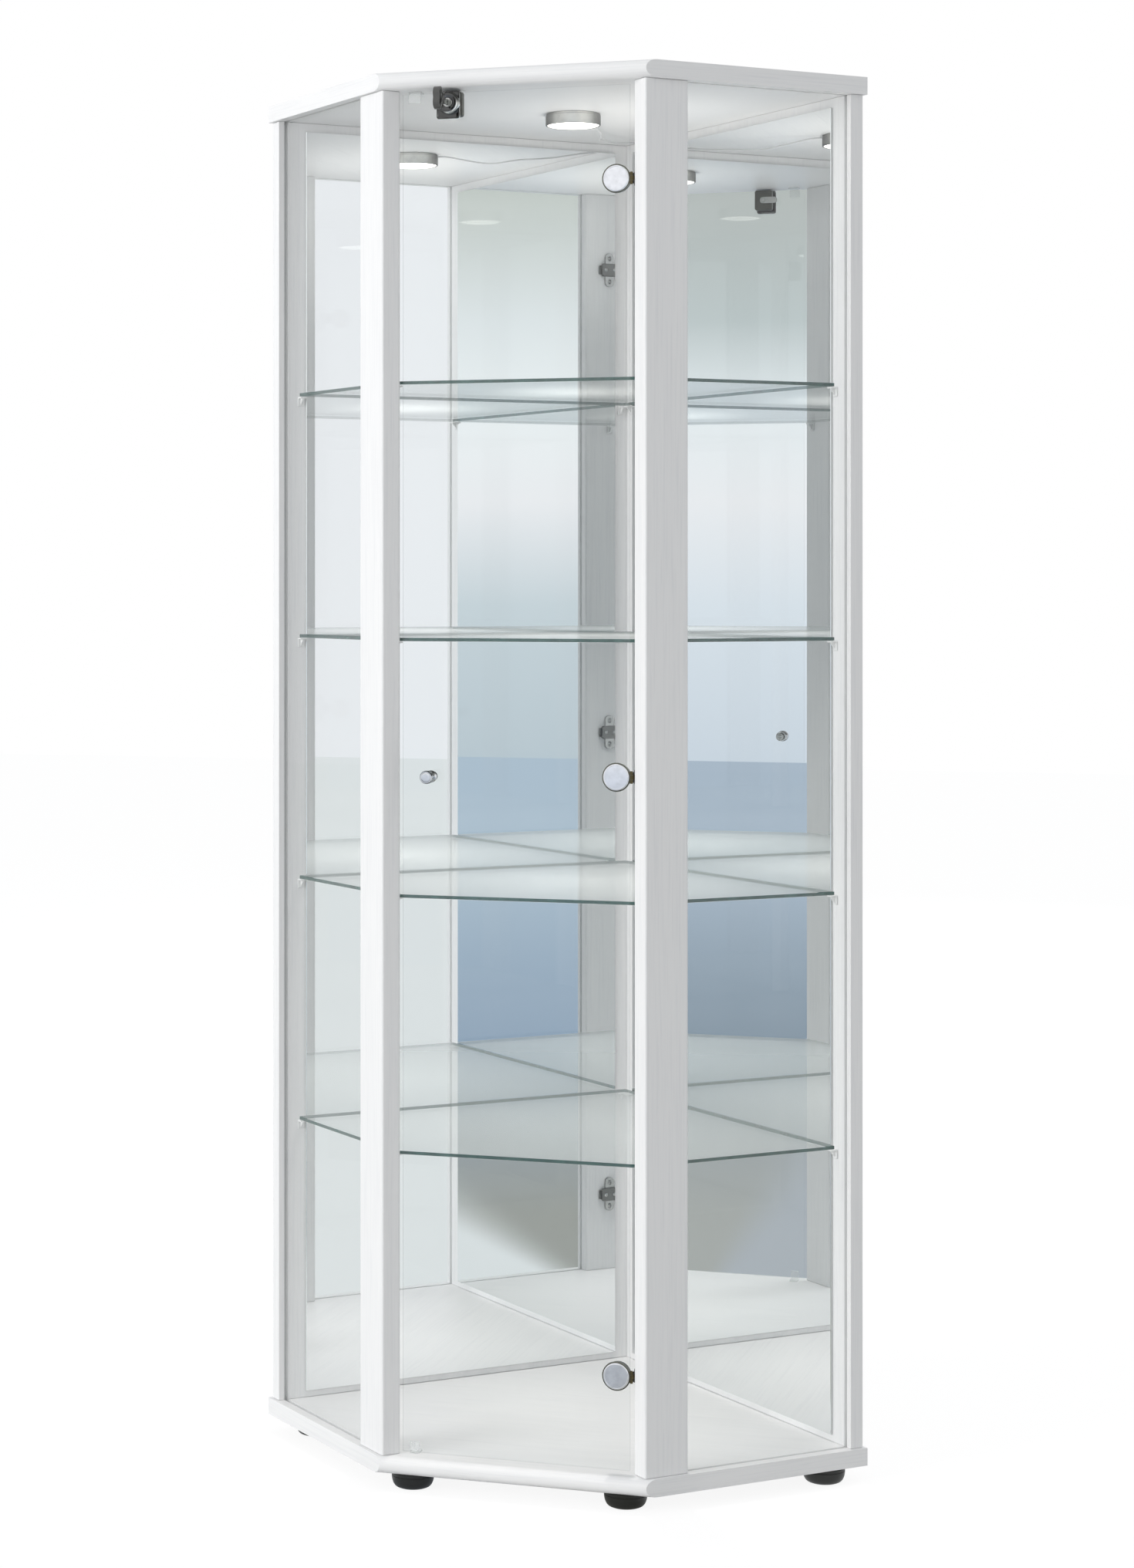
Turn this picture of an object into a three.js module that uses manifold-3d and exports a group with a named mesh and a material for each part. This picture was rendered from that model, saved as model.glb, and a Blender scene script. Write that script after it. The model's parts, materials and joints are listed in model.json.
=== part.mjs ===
// Corner curio cabinet: a free-standing glazed display cabinet for the corner of a room.
// Two mirrored back panels meet in the corner, two fixed glass sides stand square to them,
// and a frameless glass door on three cup hinges closes the diagonal front.
// Millimetres, +Z up. The viewer stands on the -Y side and the corner of the room is at +Y.

import * as THREE from 'three';
import * as BufferGeometryUtils from 'three/addons/utils/BufferGeometryUtils.js';
import Module from 'manifold-3d';

const wasm = await Module();
wasm.setup();

// Clearances
const seatGap = 0.3;
const overrun = 1;

// Top and base panels
const cabinetHeight = 1760;
const wallEdge = 565;
const sideEdge = 325;
const panelThickness = 22;

// Feet
const footHeight = 20;
const footTopRadius = 26.5;
const footShoulder = 5;
const footBaseRadius = 19;
const footEdgeInset = 47.5;
const footEndInset = 27;

// Back panels
const backThickness = 18;
const backInset = 4;
const endInset = 5;

// Posts
const postThickness = 26;
const postWidth = 62;
const postSetback = 1.6;
const postRound = 3;

// Side panes
const paneThickness = 5;
const paneInset = 8.5;
const grooveDepth = 6;

// Mirrors
const mirrorThickness = 3;
const mirrorRearBare = 20;
const mirrorFrontBare = 39;
const mirrorTopBare = 12;
const mirrorBottomBare = 9;

// Shelves
const shelfThickness = 5;
const shelfWallGap = 1.7;
const shelfSideGap = 2;
const shelfDoorGap = 3;
const shelfHeightShares = [0.2187, 0.4074, 0.5962, 0.7849];

// Shelf supports
const bracketWidth = 9;
const bracketDepth = 10;
const bracketDrop = 12;
const bracketWall = 1.8;
const gussetThickness = 2;
const gussetDepth = 7;
const gussetDrop = 8.5;
const bracketPlugDrop = 6.5;
const bracketPlugRadius = 2.5;
const bracketPlugLength = 8;
const bracketRearInset = 10;
const bracketFrontInset = 32;
const bracketPostInset = 18.4;

// Door
const doorThickness = 5;
const doorRecess = 0.3;
const doorLockSideGap = 2.4;
const doorHingeSideGap = 5.4;
const doorBottomGap = 3;
const doorTopGap = 4;

// Door hinges
const hingeEndInset = 115;
const cupInset = 16.1;
const cupHoleRadius = 13;
const capRadius = 17.75;
const capThickness = 3.7;
const capRound = 1.4;
const rearCupRadius = 16;
const rearCupDepth = 6;
const rearCupRound = 2;
const knuckleRadius = 2;
const knuckleReach = 2.8;
const fixedKnuckleHeight = 5.4;
const hingeArmHeight = 14;
const hingePinRadius = 1;
const leafThickness = 2;
const leafGrip = 8;
const hingePlateThickness = 2;
const hingePlateInset = 19.4;
const hingePlateHeight = 52;
const hingePlateWidth = 16;
const hingeArmRear = 19;
const hingeArmEndGap = 0.1;
const hingeBossDepth = 4;
const hingeBossLength = 31;
const hingeBossHeight = 20;

// Door knob
const knobInset = 37.5;
const knobDrop = 3.5;
const knobFlangeRadius = 7.5;
const knobFlangeThickness = 2;
const knobNeckRadius = 4;
const knobHeadRadius = 8.2;
const knobHeadStart = 10;
const knobReach = 24;
const knobRound = 2;
const knobScrewRadius = 2.5;
const knobWasherRadius = 6;
const knobWasherThickness = 2.6;

// Door lock
const lockInset = 61.5;
const lockWidth = 33;
const lockHeight = 35;
const lockPlateThickness = 2.4;
const lockRise = 2;
const lockPlugDrop = 15.7;
const lockBossRadius = 14;
const lockBossLength = 9;
const lockBossRound = 3;
const lockNeckWidth = 20;
const lockNeckHeight = 27;
const lockRearDepth = 12;
const plugRadius = 6;
const plugTailRadius = 3;
const keywayWidth = 2.6;
const keywayHeight = 7.6;
const keywayDepth = 20;
const camThickness = 2;
const camReach = 22;
const camHalfWidth = 5;
const camSweepGap = 0.8;

// Key
const keyBowHeight = 28;
const keyBowDepth = 24;
const keyBowThickness = 8;
const keyBowLobeRadius = 9;
const keyBowNeck = 12;
const keyBowNotch = 1.5;
const keyShankLength = 23.5;

// Door stops
const stopInset = 6;
const stopTopWidth = 16;
const stopBottomWidth = 12;
const stopDepth = 14;
const stopDrop = 14;
const stopWall = 2;

// Lamp
const lampForward = 350;
const lampAside = 6;
const lampRadius = 36;
const lampHeight = 15;
const lampRound = 1.5;
const lampLensRadius = 33.5;
const lampLensRecess = 3;
const lampLensDome = 2;

// Lamp lead: its route from the lamp to the right back panel, as distances from the right and
// left room walls and down from the top panel, laid for a lamp at this place
const leadRadius = 1.1;
const leadHoleDepth = 12;
const leadRouteForward = 350;
const leadRouteAside = 6;
const leadRoute = [
  [214, 230.2, 3],
  [209.5, 226.8, 3],
  [201.5, 221, 4],
  [189, 212, 7],
  [174, 201, 11],
  [161, 185, 14.5],
  [152.5, 169, 15.7],
  [143.5, 153, 14.6],
  [131, 139, 13],
  [116.5, 127, 12.5],
  [103, 117, 12],
  [88, 106, 10.5],
  [72, 94, 8],
  [56, 84, 5.5],
  [42, 78, 4.2],
  [33, 76, 4],
  [24, 76, 4],
  [12, 76, 4],
];

// Counts
const leadFollowers = 12;
const roundSides = 24;
const smallSides = 12;
const arcSteps = 6;
const leadSides = 8;
const leadSteps = 72;

// Places that follow from the sizes above
const underTop = cabinetHeight - panelThickness;
const overBase = footHeight + panelThickness;
const clearHeight = underTop - overBase;
const innerFace = backInset + backThickness;
const boardEnd = wallEdge - endInset;
const postInner = boardEnd - postThickness;
const postFront = sideEdge - postSetback;
const postRear = postFront - postWidth;
const mirrorFace = innerFace + seatGap + mirrorThickness;
const paneOuter = boardEnd - paneInset;
const paneInner = paneOuter - paneThickness;
const panelReach = forward(wallEdge, sideEdge);
const doorFront = forward(postInner, postFront) - doorRecess;
const doorRear = doorFront - doorThickness;
const doorway = across(postFront, postInner);
const doorLeft = -doorway + doorLockSideGap;
const doorRight = doorway - doorHingeSideGap;
const doorBottom = overBase + doorBottomGap;
const doorTop = underTop - doorTopGap;
const hingeHeights = [
  doorBottom + hingeEndInset,
  (doorBottom + doorTop) / 2,
  doorTop - hingeEndInset,
];
const cupX = doorRight - cupInset;
const pivotU = postFront + knuckleReach;
const pivotV = postInner - seatGap - hingePlateThickness / 2;
const pivotX = across(pivotU, pivotV);
const pivotForward = forward(pivotU, pivotV);
const lockX = doorLeft + lockInset;
const lockTop = doorTop + lockRise;
const plugZ = lockTop - lockPlugDrop;
const lockFace = doorFront + seatGap;
const lockBossFace = lockFace + lockPlateThickness + lockBossLength;
const lockRear = doorRear - seatGap - lockRearDepth;
const camFront = lockRear - seatGap;
const camRear = camFront - camThickness;
const keyReach = lockBossFace + keyShankLength + keyBowDepth;
const shelfUndersides = shelfHeightShares.map((share) => overBase + share * clearHeight);
const bracketSeats = [
  { side: 'left', along: innerFace + bracketRearInset, post: false },
  { side: 'left', along: boardEnd - bracketFrontInset, post: false },
  { side: 'left', along: postFront - bracketPostInset, post: true },
  { side: 'right', along: innerFace + 2 * seatGap + bracketDepth + bracketWidth / 2, post: false },
  { side: 'right', along: boardEnd - bracketFrontInset, post: false },
  { side: 'right', along: postFront - bracketPostInset, post: true },
];

// A place is given either as distances u and v from the right and left room walls, measured
// along the left and right one, or as distances across and forward of the rear corner.
function across(u, v) {
  return (v - u) / Math.SQRT2;
}

function forward(u, v) {
  return (u + v) / Math.SQRT2;
}

// Finishes
function finish(color, roughness, metalness, opacity) {
  return new THREE.MeshStandardMaterial({
    color,
    roughness,
    metalness,
    opacity,
    transparent: opacity < 1,
    side: opacity < 1 ? THREE.DoubleSide : THREE.FrontSide,
  });
}

const whiteBoard = () => finish(0xf1f1ef, 0.5, 0, 1);
const clearGlass = () => finish(0xdfeeea, 0.03, 0, 0.25);
const shelfGlass = () => finish(0x9fc4b8, 0.03, 0, 0.4);
const mirrorGlass = () => finish(0xe2e8ec, 0.02, 1, 1);
const blackPlastic = () => finish(0x191916, 0.5, 0, 1);
const whiteMetal = () => finish(0xe4e6ea, 0.3, 0.4, 1);
const darkBrass = () => finish(0x4a4230, 0.35, 1, 1);
const chrome = () => finish(0xd2d4d6, 0.1, 1, 1);
const clearPlastic = () => finish(0xeef0f0, 0.15, 0, 0.7);
const greyPlastic = () => finish(0x9a9a9a, 0.4, 0.2, 1);
const lampLight = () => finish(0xfff2d6, 0.4, 0, 1);

// Solids
function solid(geometry) {
  const bare = geometry.clone();
  bare.deleteAttribute('normal');
  bare.deleteAttribute('uv');
  const merged = BufferGeometryUtils.mergeVertices(bare);
  return new wasm.Manifold(new wasm.Mesh({
    numProp: 3,
    vertProperties: merged.attributes.position.array,
    triVerts: Uint32Array.from(merged.index.array),
  }));
}

function geometryOf(shape) {
  const mesh = shape.getMesh();
  const geometry = new THREE.BufferGeometry();
  geometry.setAttribute('position', new THREE.BufferAttribute(mesh.vertProperties, 3));
  geometry.setIndex(new THREE.BufferAttribute(mesh.triVerts, 1));
  return BufferGeometryUtils.toCreasedNormals(geometry, Math.PI / 5);
}

function joined(first, ...others) {
  return others.reduce((sum, other) => sum.add(solid(other)), solid(first));
}

function cut(shape, cutters) {
  return cutters.reduce((rest, cutter) => rest.subtract(solid(cutter)), shape);
}

function block(x0, x1, y0, y1, z0, z1) {
  const box = new THREE.BoxGeometry(x1 - x0, y1 - y0, z1 - z0);
  return box.translate((x0 + x1) / 2, (y0 + y1) / 2, (z0 + z1) / 2);
}

function rodAlongY(radius, y0, y1, x, z, sides) {
  const rod = new THREE.CylinderGeometry(radius, radius, y1 - y0, sides);
  return rod.translate(x, (y0 + y1) / 2, z);
}

function rodAlongZ(radius, z0, z1, x, y, sides) {
  const rod = new THREE.CylinderGeometry(radius, radius, z1 - z0, sides);
  return rod.rotateX(Math.PI / 2).translate(x, y, (z0 + z1) / 2);
}

// A section drawn in Y and Z, run along X
function runAlongX(section, length) {
  const run = new THREE.ExtrudeGeometry(section, {
    depth: length,
    bevelEnabled: false,
    curveSegments: arcSteps,
  });
  return run.rotateX(Math.PI / 2).rotateZ(Math.PI / 2).translate(-length / 2, 0, 0);
}

// A section drawn in X and Z, run towards -Y from the origin
function runTowardsFront(section, length) {
  const run = new THREE.ExtrudeGeometry(section, {
    depth: length,
    bevelEnabled: false,
    curveSegments: arcSteps,
  });
  return run.rotateX(Math.PI / 2);
}

// A profile of radius and distance, turned about a line towards -Y
function turnTowardsFront(profile, sides) {
  return new THREE.LatheGeometry(profile, sides).rotateX(Math.PI);
}

function roundedCorner(points, x, y, radius, startAngle) {
  for (let step = 0; step <= arcSteps; step += 1) {
    const angle = startAngle + (step / arcSteps) * (Math.PI / 2);
    points.push(new THREE.Vector2(x + radius * Math.cos(angle), y + radius * Math.sin(angle)));
  }
}

function mesh(name, geometry, material) {
  const piece = new THREE.Mesh(geometry, material);
  piece.name = name;
  return piece;
}

// Frames: one in the corner looking forward, one along the two room walls
const cabinet = new THREE.Group();
const frontFrame = new THREE.Group();
const wallFrame = new THREE.Group();
const wallTurn = -3 * Math.PI / 4;
frontFrame.position.y = keyReach / 2;
wallFrame.position.y = keyReach / 2;
wallFrame.rotation.z = wallTurn;
cabinet.add(frontFrame, wallFrame);

// On the left side u runs along the wall and v out of it, on the right side the other way round
function sideBlock(side, along0, along1, out0, out1, z0, z1) {
  return side === 'left'
    ? block(along0, along1, out0, out1, z0, z1)
    : block(out0, out1, along0, along1, z0, z1);
}

// Shelf support sockets
function socket(side, seat, z) {
  const face = seat.post ? postInner : innerFace;
  const start = seat.post ? face - overrun : face - seatGap - bracketPlugLength;
  const end = seat.post ? face + seatGap + bracketPlugLength : face + overrun;
  const radius = bracketPlugRadius + seatGap;
  const upright = new THREE.CylinderGeometry(radius, radius, end - start, smallSides);
  const lengthwise = (side === 'left') === seat.post;
  if (lengthwise) {
    return upright.rotateZ(Math.PI / 2).translate((start + end) / 2, seat.along, z);
  }
  return upright.translate(seat.along, (start + end) / 2, z);
}

function socketsOf(side, inPost) {
  const seats = bracketSeats.filter((seat) => seat.side === side && seat.post === inPost);
  return seats.flatMap((seat) => shelfUndersides.map(
    (underside) => socket(side, seat, underside - seatGap - bracketPlugDrop),
  ));
}

// Top and base panels: a five-sided board whose diagonal front edge is fully rounded
function carcassPanel(grooveLow, grooveHigh) {
  const corners = [
    [0, 0],
    [wallEdge, 0],
    [wallEdge, sideEdge],
    [sideEdge, wallEdge],
    [0, wallEdge],
  ];
  const outline = new THREE.Shape(
    corners.map(([u, v]) => new THREE.Vector2(across(u, v), -forward(u, v))),
  );
  const board = new THREE.ExtrudeGeometry(outline, { depth: panelThickness, bevelEnabled: false });
  const noseRadius = panelThickness / 2;
  const nose = new THREE.Shape();
  nose.moveTo(overrun, 0);
  nose.lineTo(noseRadius - panelReach, 0);
  nose.absarc(noseRadius - panelReach, noseRadius, noseRadius, -Math.PI / 2, Math.PI / 2, true);
  nose.lineTo(overrun, panelThickness);
  const slab = runAlongX(nose, 2 * across(0, wallEdge) + 2 * overrun);
  const grooves = ['left', 'right'].map((side) => {
    const run = innerFace - grooveDepth;
    const end = postRear + grooveDepth;
    const inner = paneInner - seatGap;
    const outer = paneOuter + seatGap;
    const groove = side === 'left'
      ? block(inner, outer, run, end, grooveLow, grooveHigh)
      : block(run, end, inner, outer, grooveLow, grooveHigh);
    return groove.rotateZ(wallTurn);
  });
  return cut(solid(board).intersect(solid(slab)), grooves);
}

function topPanel() {
  const depth = grooveDepth;
  const camSlot = rodAlongY(
    camReach + camSweepGap,
    -camFront - camSweepGap,
    -camRear + camSweepGap,
    lockX,
    plugZ - underTop,
    2 * roundSides,
  );
  const board = cut(carcassPanel(-overrun, depth), [camSlot]);
  const piece = mesh('top_panel', geometryOf(board), whiteBoard());
  piece.position.z = underTop;
  return piece;
}

function basePanel() {
  const low = panelThickness - grooveDepth;
  const board = carcassPanel(low, panelThickness + overrun);
  const piece = mesh('base_panel', geometryOf(board), whiteBoard());
  piece.position.z = footHeight;
  return piece;
}

frontFrame.add(topPanel(), basePanel());

// Feet: shallow turned bowls that flare from a flat sole to the panel
function footProfile() {
  const top = footHeight - seatGap;
  const profile = [new THREE.Vector2(0, 0), new THREE.Vector2(footBaseRadius, 0)];
  const flare = new THREE.EllipseCurve(
    footBaseRadius,
    top - footShoulder,
    footTopRadius - footBaseRadius,
    top - footShoulder,
    -Math.PI / 2,
    0,
    false,
    0,
  );
  profile.push(...flare.getPoints(arcSteps).slice(1));
  profile.push(new THREE.Vector2(footTopRadius, top), new THREE.Vector2(0, top));
  return profile;
}

const footPlaces = {
  foot_rear: [footEdgeInset, footEdgeInset],
  foot_left_wall: [wallEdge - footEdgeInset, footEdgeInset],
  foot_right_wall: [footEdgeInset, wallEdge - footEndInset],
  foot_front_left: [wallEdge - footEdgeInset, sideEdge],
  foot_front_right: [sideEdge, wallEdge - footEdgeInset],
};

for (const [name, [u, v]] of Object.entries(footPlaces)) {
  const turned = new THREE.LatheGeometry(footProfile(), roundSides).rotateX(Math.PI / 2);
  const foot = mesh(name, turned, blackPlastic());
  foot.position.set(u, v, 0);
  wallFrame.add(foot);
}

// Back panels: the left one runs through the corner and the right one butts against it
function backPanel(side) {
  const bottom = overBase + seatGap;
  const top = underTop - seatGap;
  const start = side === 'left' ? backInset : innerFace + seatGap;
  const board = solid(sideBlock(side, start, boardEnd, backInset, innerFace, bottom, top));
  const groove = sideBlock(
    side,
    paneInner - seatGap,
    paneOuter + seatGap,
    innerFace - grooveDepth,
    innerFace + overrun,
    bottom - overrun,
    top + overrun,
  );
  const cutters = [groove, ...socketsOf(side, false)];
  if (side === 'right') {
    cutters.push(leadHole());
  }
  return mesh(side + '_back_panel', geometryOf(cut(board, cutters)), whiteBoard());
}

// Posts: upright boards with rounded corners that carry the glass sides, shelves and door
function post(side) {
  const points = [];
  const near = postRound;
  roundedCorner(points, boardEnd - near, postFront - near, near, 0);
  roundedCorner(points, postInner + near, postFront - near, near, Math.PI / 2);
  roundedCorner(points, postInner + near, postRear + near, near, Math.PI);
  roundedCorner(points, boardEnd - near, postRear + near, near, 3 * Math.PI / 2);
  const outline = side === 'left'
    ? points
    : points.map((point) => new THREE.Vector2(point.y, point.x)).reverse();
  const height = clearHeight - 2 * seatGap;
  const upright = new THREE.ExtrudeGeometry(new THREE.Shape(outline), {
    depth: height,
    bevelEnabled: false,
  });
  upright.translate(0, 0, overBase + seatGap);
  const inner = paneInner - seatGap;
  const outer = paneOuter + seatGap;
  const grooveStart = postRear - overrun;
  const grooveEnd = postRear + grooveDepth;
  const low = overBase - overrun;
  const high = underTop + overrun;
  const groove = side === 'left'
    ? block(inner, outer, grooveStart, grooveEnd, low, high)
    : block(grooveStart, grooveEnd, inner, outer, low, high);
  const board = cut(solid(upright), [groove, ...socketsOf(side, true)]);
  return mesh(side + '_post', geometryOf(board), whiteBoard());
}

// Side panes: glass held in grooves on all four edges
function sidePane(side) {
  const bury = grooveDepth - seatGap;
  const start = innerFace - bury;
  const end = postRear + bury;
  const bottom = overBase - bury;
  const top = underTop + bury;
  const pane = side === 'left'
    ? block(paneInner, paneOuter, start, end, bottom, top)
    : block(start, end, paneInner, paneOuter, bottom, top);
  return mesh(side + '_side_glass', pane, clearGlass());
}

// Mirrors: stuck to the back panels, with bare board left round them
function mirror(side) {
  const plate = sideBlock(
    side,
    innerFace + mirrorRearBare,
    boardEnd - mirrorFrontBare,
    innerFace + seatGap,
    mirrorFace,
    overBase + mirrorBottomBare,
    underTop - mirrorTopBare,
  );
  return mesh(side + '_mirror', plate, mirrorGlass());
}

for (const side of ['left', 'right']) {
  wallFrame.add(backPanel(side), post(side), sidePane(side), mirror(side));
}

// Shelves: five-sided glass plates clear of the mirrors, posts and door
function shelfOutline() {
  const rear = mirrorFace + shelfWallGap;
  const end = postInner - shelfSideGap;
  const front = (doorRear - shelfDoorGap) * Math.SQRT2 - end;
  const corners = [[rear, rear], [end, rear], [end, front], [front, end], [rear, end]];
  return new THREE.Shape(corners.map(([u, v]) => new THREE.Vector2(u, v)));
}

// Shelf supports: a ledge on a wall plate with a gusset below and a plug in the board.
// X runs along the wall, Y out of it, and the ledge's top is at zero.
function bracketGeometry() {
  const section = new THREE.Shape();
  section.moveTo(0, 0);
  section.lineTo(0, -bracketDrop);
  section.lineTo(bracketWall, -bracketDrop);
  section.lineTo(bracketWall, -bracketWall);
  section.lineTo(bracketDepth, -bracketWall);
  section.lineTo(bracketDepth, 0);
  const rib = new THREE.Shape();
  rib.moveTo(bracketWall / 2, -bracketWall / 2);
  rib.lineTo(bracketWall / 2, -bracketWall - gussetDrop);
  rib.lineTo(bracketWall, -bracketWall - gussetDrop);
  rib.lineTo(bracketWall + gussetDepth, -bracketWall);
  rib.lineTo(bracketWall + gussetDepth, -bracketWall / 2);
  const plug = rodAlongY(
    bracketPlugRadius,
    -bracketPlugLength,
    bracketWall / 2,
    0,
    -bracketPlugDrop,
    smallSides,
  );
  const whole = joined(runAlongX(section, bracketWidth), runAlongX(rib, gussetThickness), plug);
  return geometryOf(whole);
}

const bracketTurns = { wallleft: 0, wallright: -Math.PI / 2, postleft: Math.PI / 2, postright: Math.PI };
const bracketNames = [
  'left_rear', 'left_end', 'left_post', 'right_rear', 'right_end', 'right_post',
];
const bracketShape = bracketGeometry();

function bracket(seat, underside) {
  const piece = mesh('', bracketShape, clearPlastic());
  const face = seat.post ? postInner - seatGap : innerFace + seatGap;
  const onLeftWall = (seat.side === 'left') !== seat.post;
  const u = onLeftWall ? seat.along : face;
  const v = onLeftWall ? face : seat.along;
  piece.position.set(u, v, underside - seatGap);
  piece.rotation.z = bracketTurns[(seat.post ? 'post' : 'wall') + seat.side];
  return piece;
}

shelfUndersides.forEach((underside, level) => {
  const glass = new THREE.ExtrudeGeometry(shelfOutline(), {
    depth: shelfThickness,
    bevelEnabled: false,
  });
  const shelf = mesh('shelf_' + (level + 1), glass, shelfGlass());
  shelf.position.z = underside;
  wallFrame.add(shelf);
  bracketSeats.forEach((seat, index) => {
    const support = bracket(seat, underside);
    support.name = 'shelf_support_' + (level + 1) + '_' + bracketNames[index];
    wallFrame.add(support);
  });
});

// Door glass: drilled for the cup hinges and the knob, and notched at the top for the lock
function doorGlass() {
  const pane = block(doorLeft, doorRight, -doorFront, -doorRear, doorBottom, doorTop);
  const back = -doorRear + overrun;
  const front = -doorFront - overrun;
  const cupHoles = hingeHeights.map(
    (height) => rodAlongY(cupHoleRadius, front, back, cupX, height, roundSides),
  );
  const knobHole = rodAlongY(
    knobScrewRadius + seatGap,
    front,
    back,
    doorLeft + knobInset,
    hingeHeights[1] - knobDrop,
    smallSides,
  );
  const notch = block(
    lockX - lockNeckWidth / 2 - seatGap,
    lockX + lockNeckWidth / 2 + seatGap,
    front,
    back,
    lockTop - lockNeckHeight - seatGap,
    doorTop + overrun,
  );
  return mesh('door_glass', geometryOf(cut(solid(pane), [...cupHoles, knobHole, notch])), clearGlass());
}

// Moving half of a hinge: a capped cup clamped through the glass, with two knuckles
function hingeCup(height) {
  const glassBack = -doorThickness - seatGap;
  const profile = [
    new THREE.Vector2(0, glassBack - rearCupDepth),
    new THREE.Vector2(rearCupRadius - rearCupRound, glassBack - rearCupDepth),
    new THREE.Vector2(rearCupRadius, glassBack - rearCupDepth + rearCupRound),
    new THREE.Vector2(rearCupRadius, glassBack),
    new THREE.Vector2(cupHoleRadius - seatGap, glassBack),
    new THREE.Vector2(cupHoleRadius - seatGap, seatGap),
    new THREE.Vector2(capRadius, seatGap),
    new THREE.Vector2(capRadius, seatGap + capThickness - capRound),
    new THREE.Vector2(capRadius - capRound, seatGap + capThickness),
    new THREE.Vector2(0, seatGap + capThickness),
  ];
  const cup = turnTowardsFront(profile, 2 * roundSides);
  const hubX = pivotX - cupX;
  const hubY = doorFront - pivotForward;
  const low = fixedKnuckleHeight / 2 + seatGap;
  const high = hingeArmHeight / 2;
  const knuckles = [[low, high], [-high, -low]].flatMap(([z0, z1]) => [
    rodAlongZ(knuckleRadius, z0, z1, hubX, hubY, smallSides),
    block(hubX - leafGrip, hubX, hubY - leafThickness / 2, hubY + leafThickness / 2, z0, z1),
  ]);
  const bore = rodAlongZ(hingePinRadius + seatGap, -high - overrun, high + overrun, hubX, hubY, smallSides);
  const relief = rodAlongZ(knuckleRadius + seatGap, -low, low, hubX, hubY, smallSides);
  const whole = cut(joined(cup, ...knuckles), [bore, relief]);
  const piece = mesh('', geometryOf(whole), whiteMetal());
  piece.position.set(cupX, -doorFront, height);
  return piece;
}

// Fixed half of a hinge: a cross plate on the post with an arm, a centre knuckle and the pin
function hingePlate(height) {
  const centre = postFront - hingePlateInset;
  const armEnd = postFront + hingeArmEndGap;
  const halfArm = hingeArmHeight / 2;
  const halfPlate = hingePlateHeight / 2;
  const face = postInner - seatGap;
  const upright = block(
    centre - hingePlateWidth / 2,
    centre + hingePlateWidth / 2,
    face - hingePlateThickness,
    face,
    -halfPlate,
    halfPlate,
  );
  const arm = block(centre - hingeArmRear, armEnd, face - hingePlateThickness, face, -halfArm, halfArm);
  const tongue = block(
    centre,
    pivotU,
    face - hingePlateThickness,
    face,
    -fixedKnuckleHeight / 2,
    fixedKnuckleHeight / 2,
  );
  const boss = block(
    centre - hingeBossLength / 2,
    centre + hingeBossLength / 2,
    face - hingePlateThickness - hingeBossDepth,
    face - hingePlateThickness / 2,
    -hingeBossHeight / 2,
    hingeBossHeight / 2,
  );
  const knuckle = rodAlongZ(
    knuckleRadius,
    -fixedKnuckleHeight / 2,
    fixedKnuckleHeight / 2,
    pivotU,
    pivotV,
    smallSides,
  );
  const pin = rodAlongZ(hingePinRadius, -halfArm, halfArm, pivotU, pivotV, smallSides);
  const piece = mesh('', geometryOf(joined(upright, arm, tongue, boss, knuckle, pin)), darkBrass());
  piece.position.z = height;
  return piece;
}

// Knob: a turned chrome knob on a washer, with its screw through the glass
function doorKnob() {
  const glassBack = -doorThickness - seatGap;
  const profile = [
    new THREE.Vector2(0, glassBack - knobWasherThickness),
    new THREE.Vector2(knobWasherRadius, glassBack - knobWasherThickness),
    new THREE.Vector2(knobWasherRadius, glassBack),
    new THREE.Vector2(knobScrewRadius, glassBack),
    new THREE.Vector2(knobScrewRadius, seatGap),
    new THREE.Vector2(knobFlangeRadius, seatGap),
    new THREE.Vector2(knobFlangeRadius, seatGap + knobFlangeThickness),
    new THREE.Vector2(knobNeckRadius, seatGap + knobFlangeThickness + knobRound),
    new THREE.Vector2(knobNeckRadius, knobHeadStart),
    new THREE.Vector2(knobHeadRadius - knobRound, knobHeadStart + knobRound),
    new THREE.Vector2(knobHeadRadius, knobHeadStart + 2 * knobRound),
    new THREE.Vector2(knobHeadRadius, knobReach - knobRound),
    new THREE.Vector2(knobHeadRadius - knobRound, knobReach),
    new THREE.Vector2(0, knobReach),
  ];
  const knob = mesh('door_knob', turnTowardsFront(profile, roundSides), chrome());
  knob.position.set(doorLeft + knobInset, -doorFront, hingeHeights[1] - knobDrop);
  return knob;
}

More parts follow.
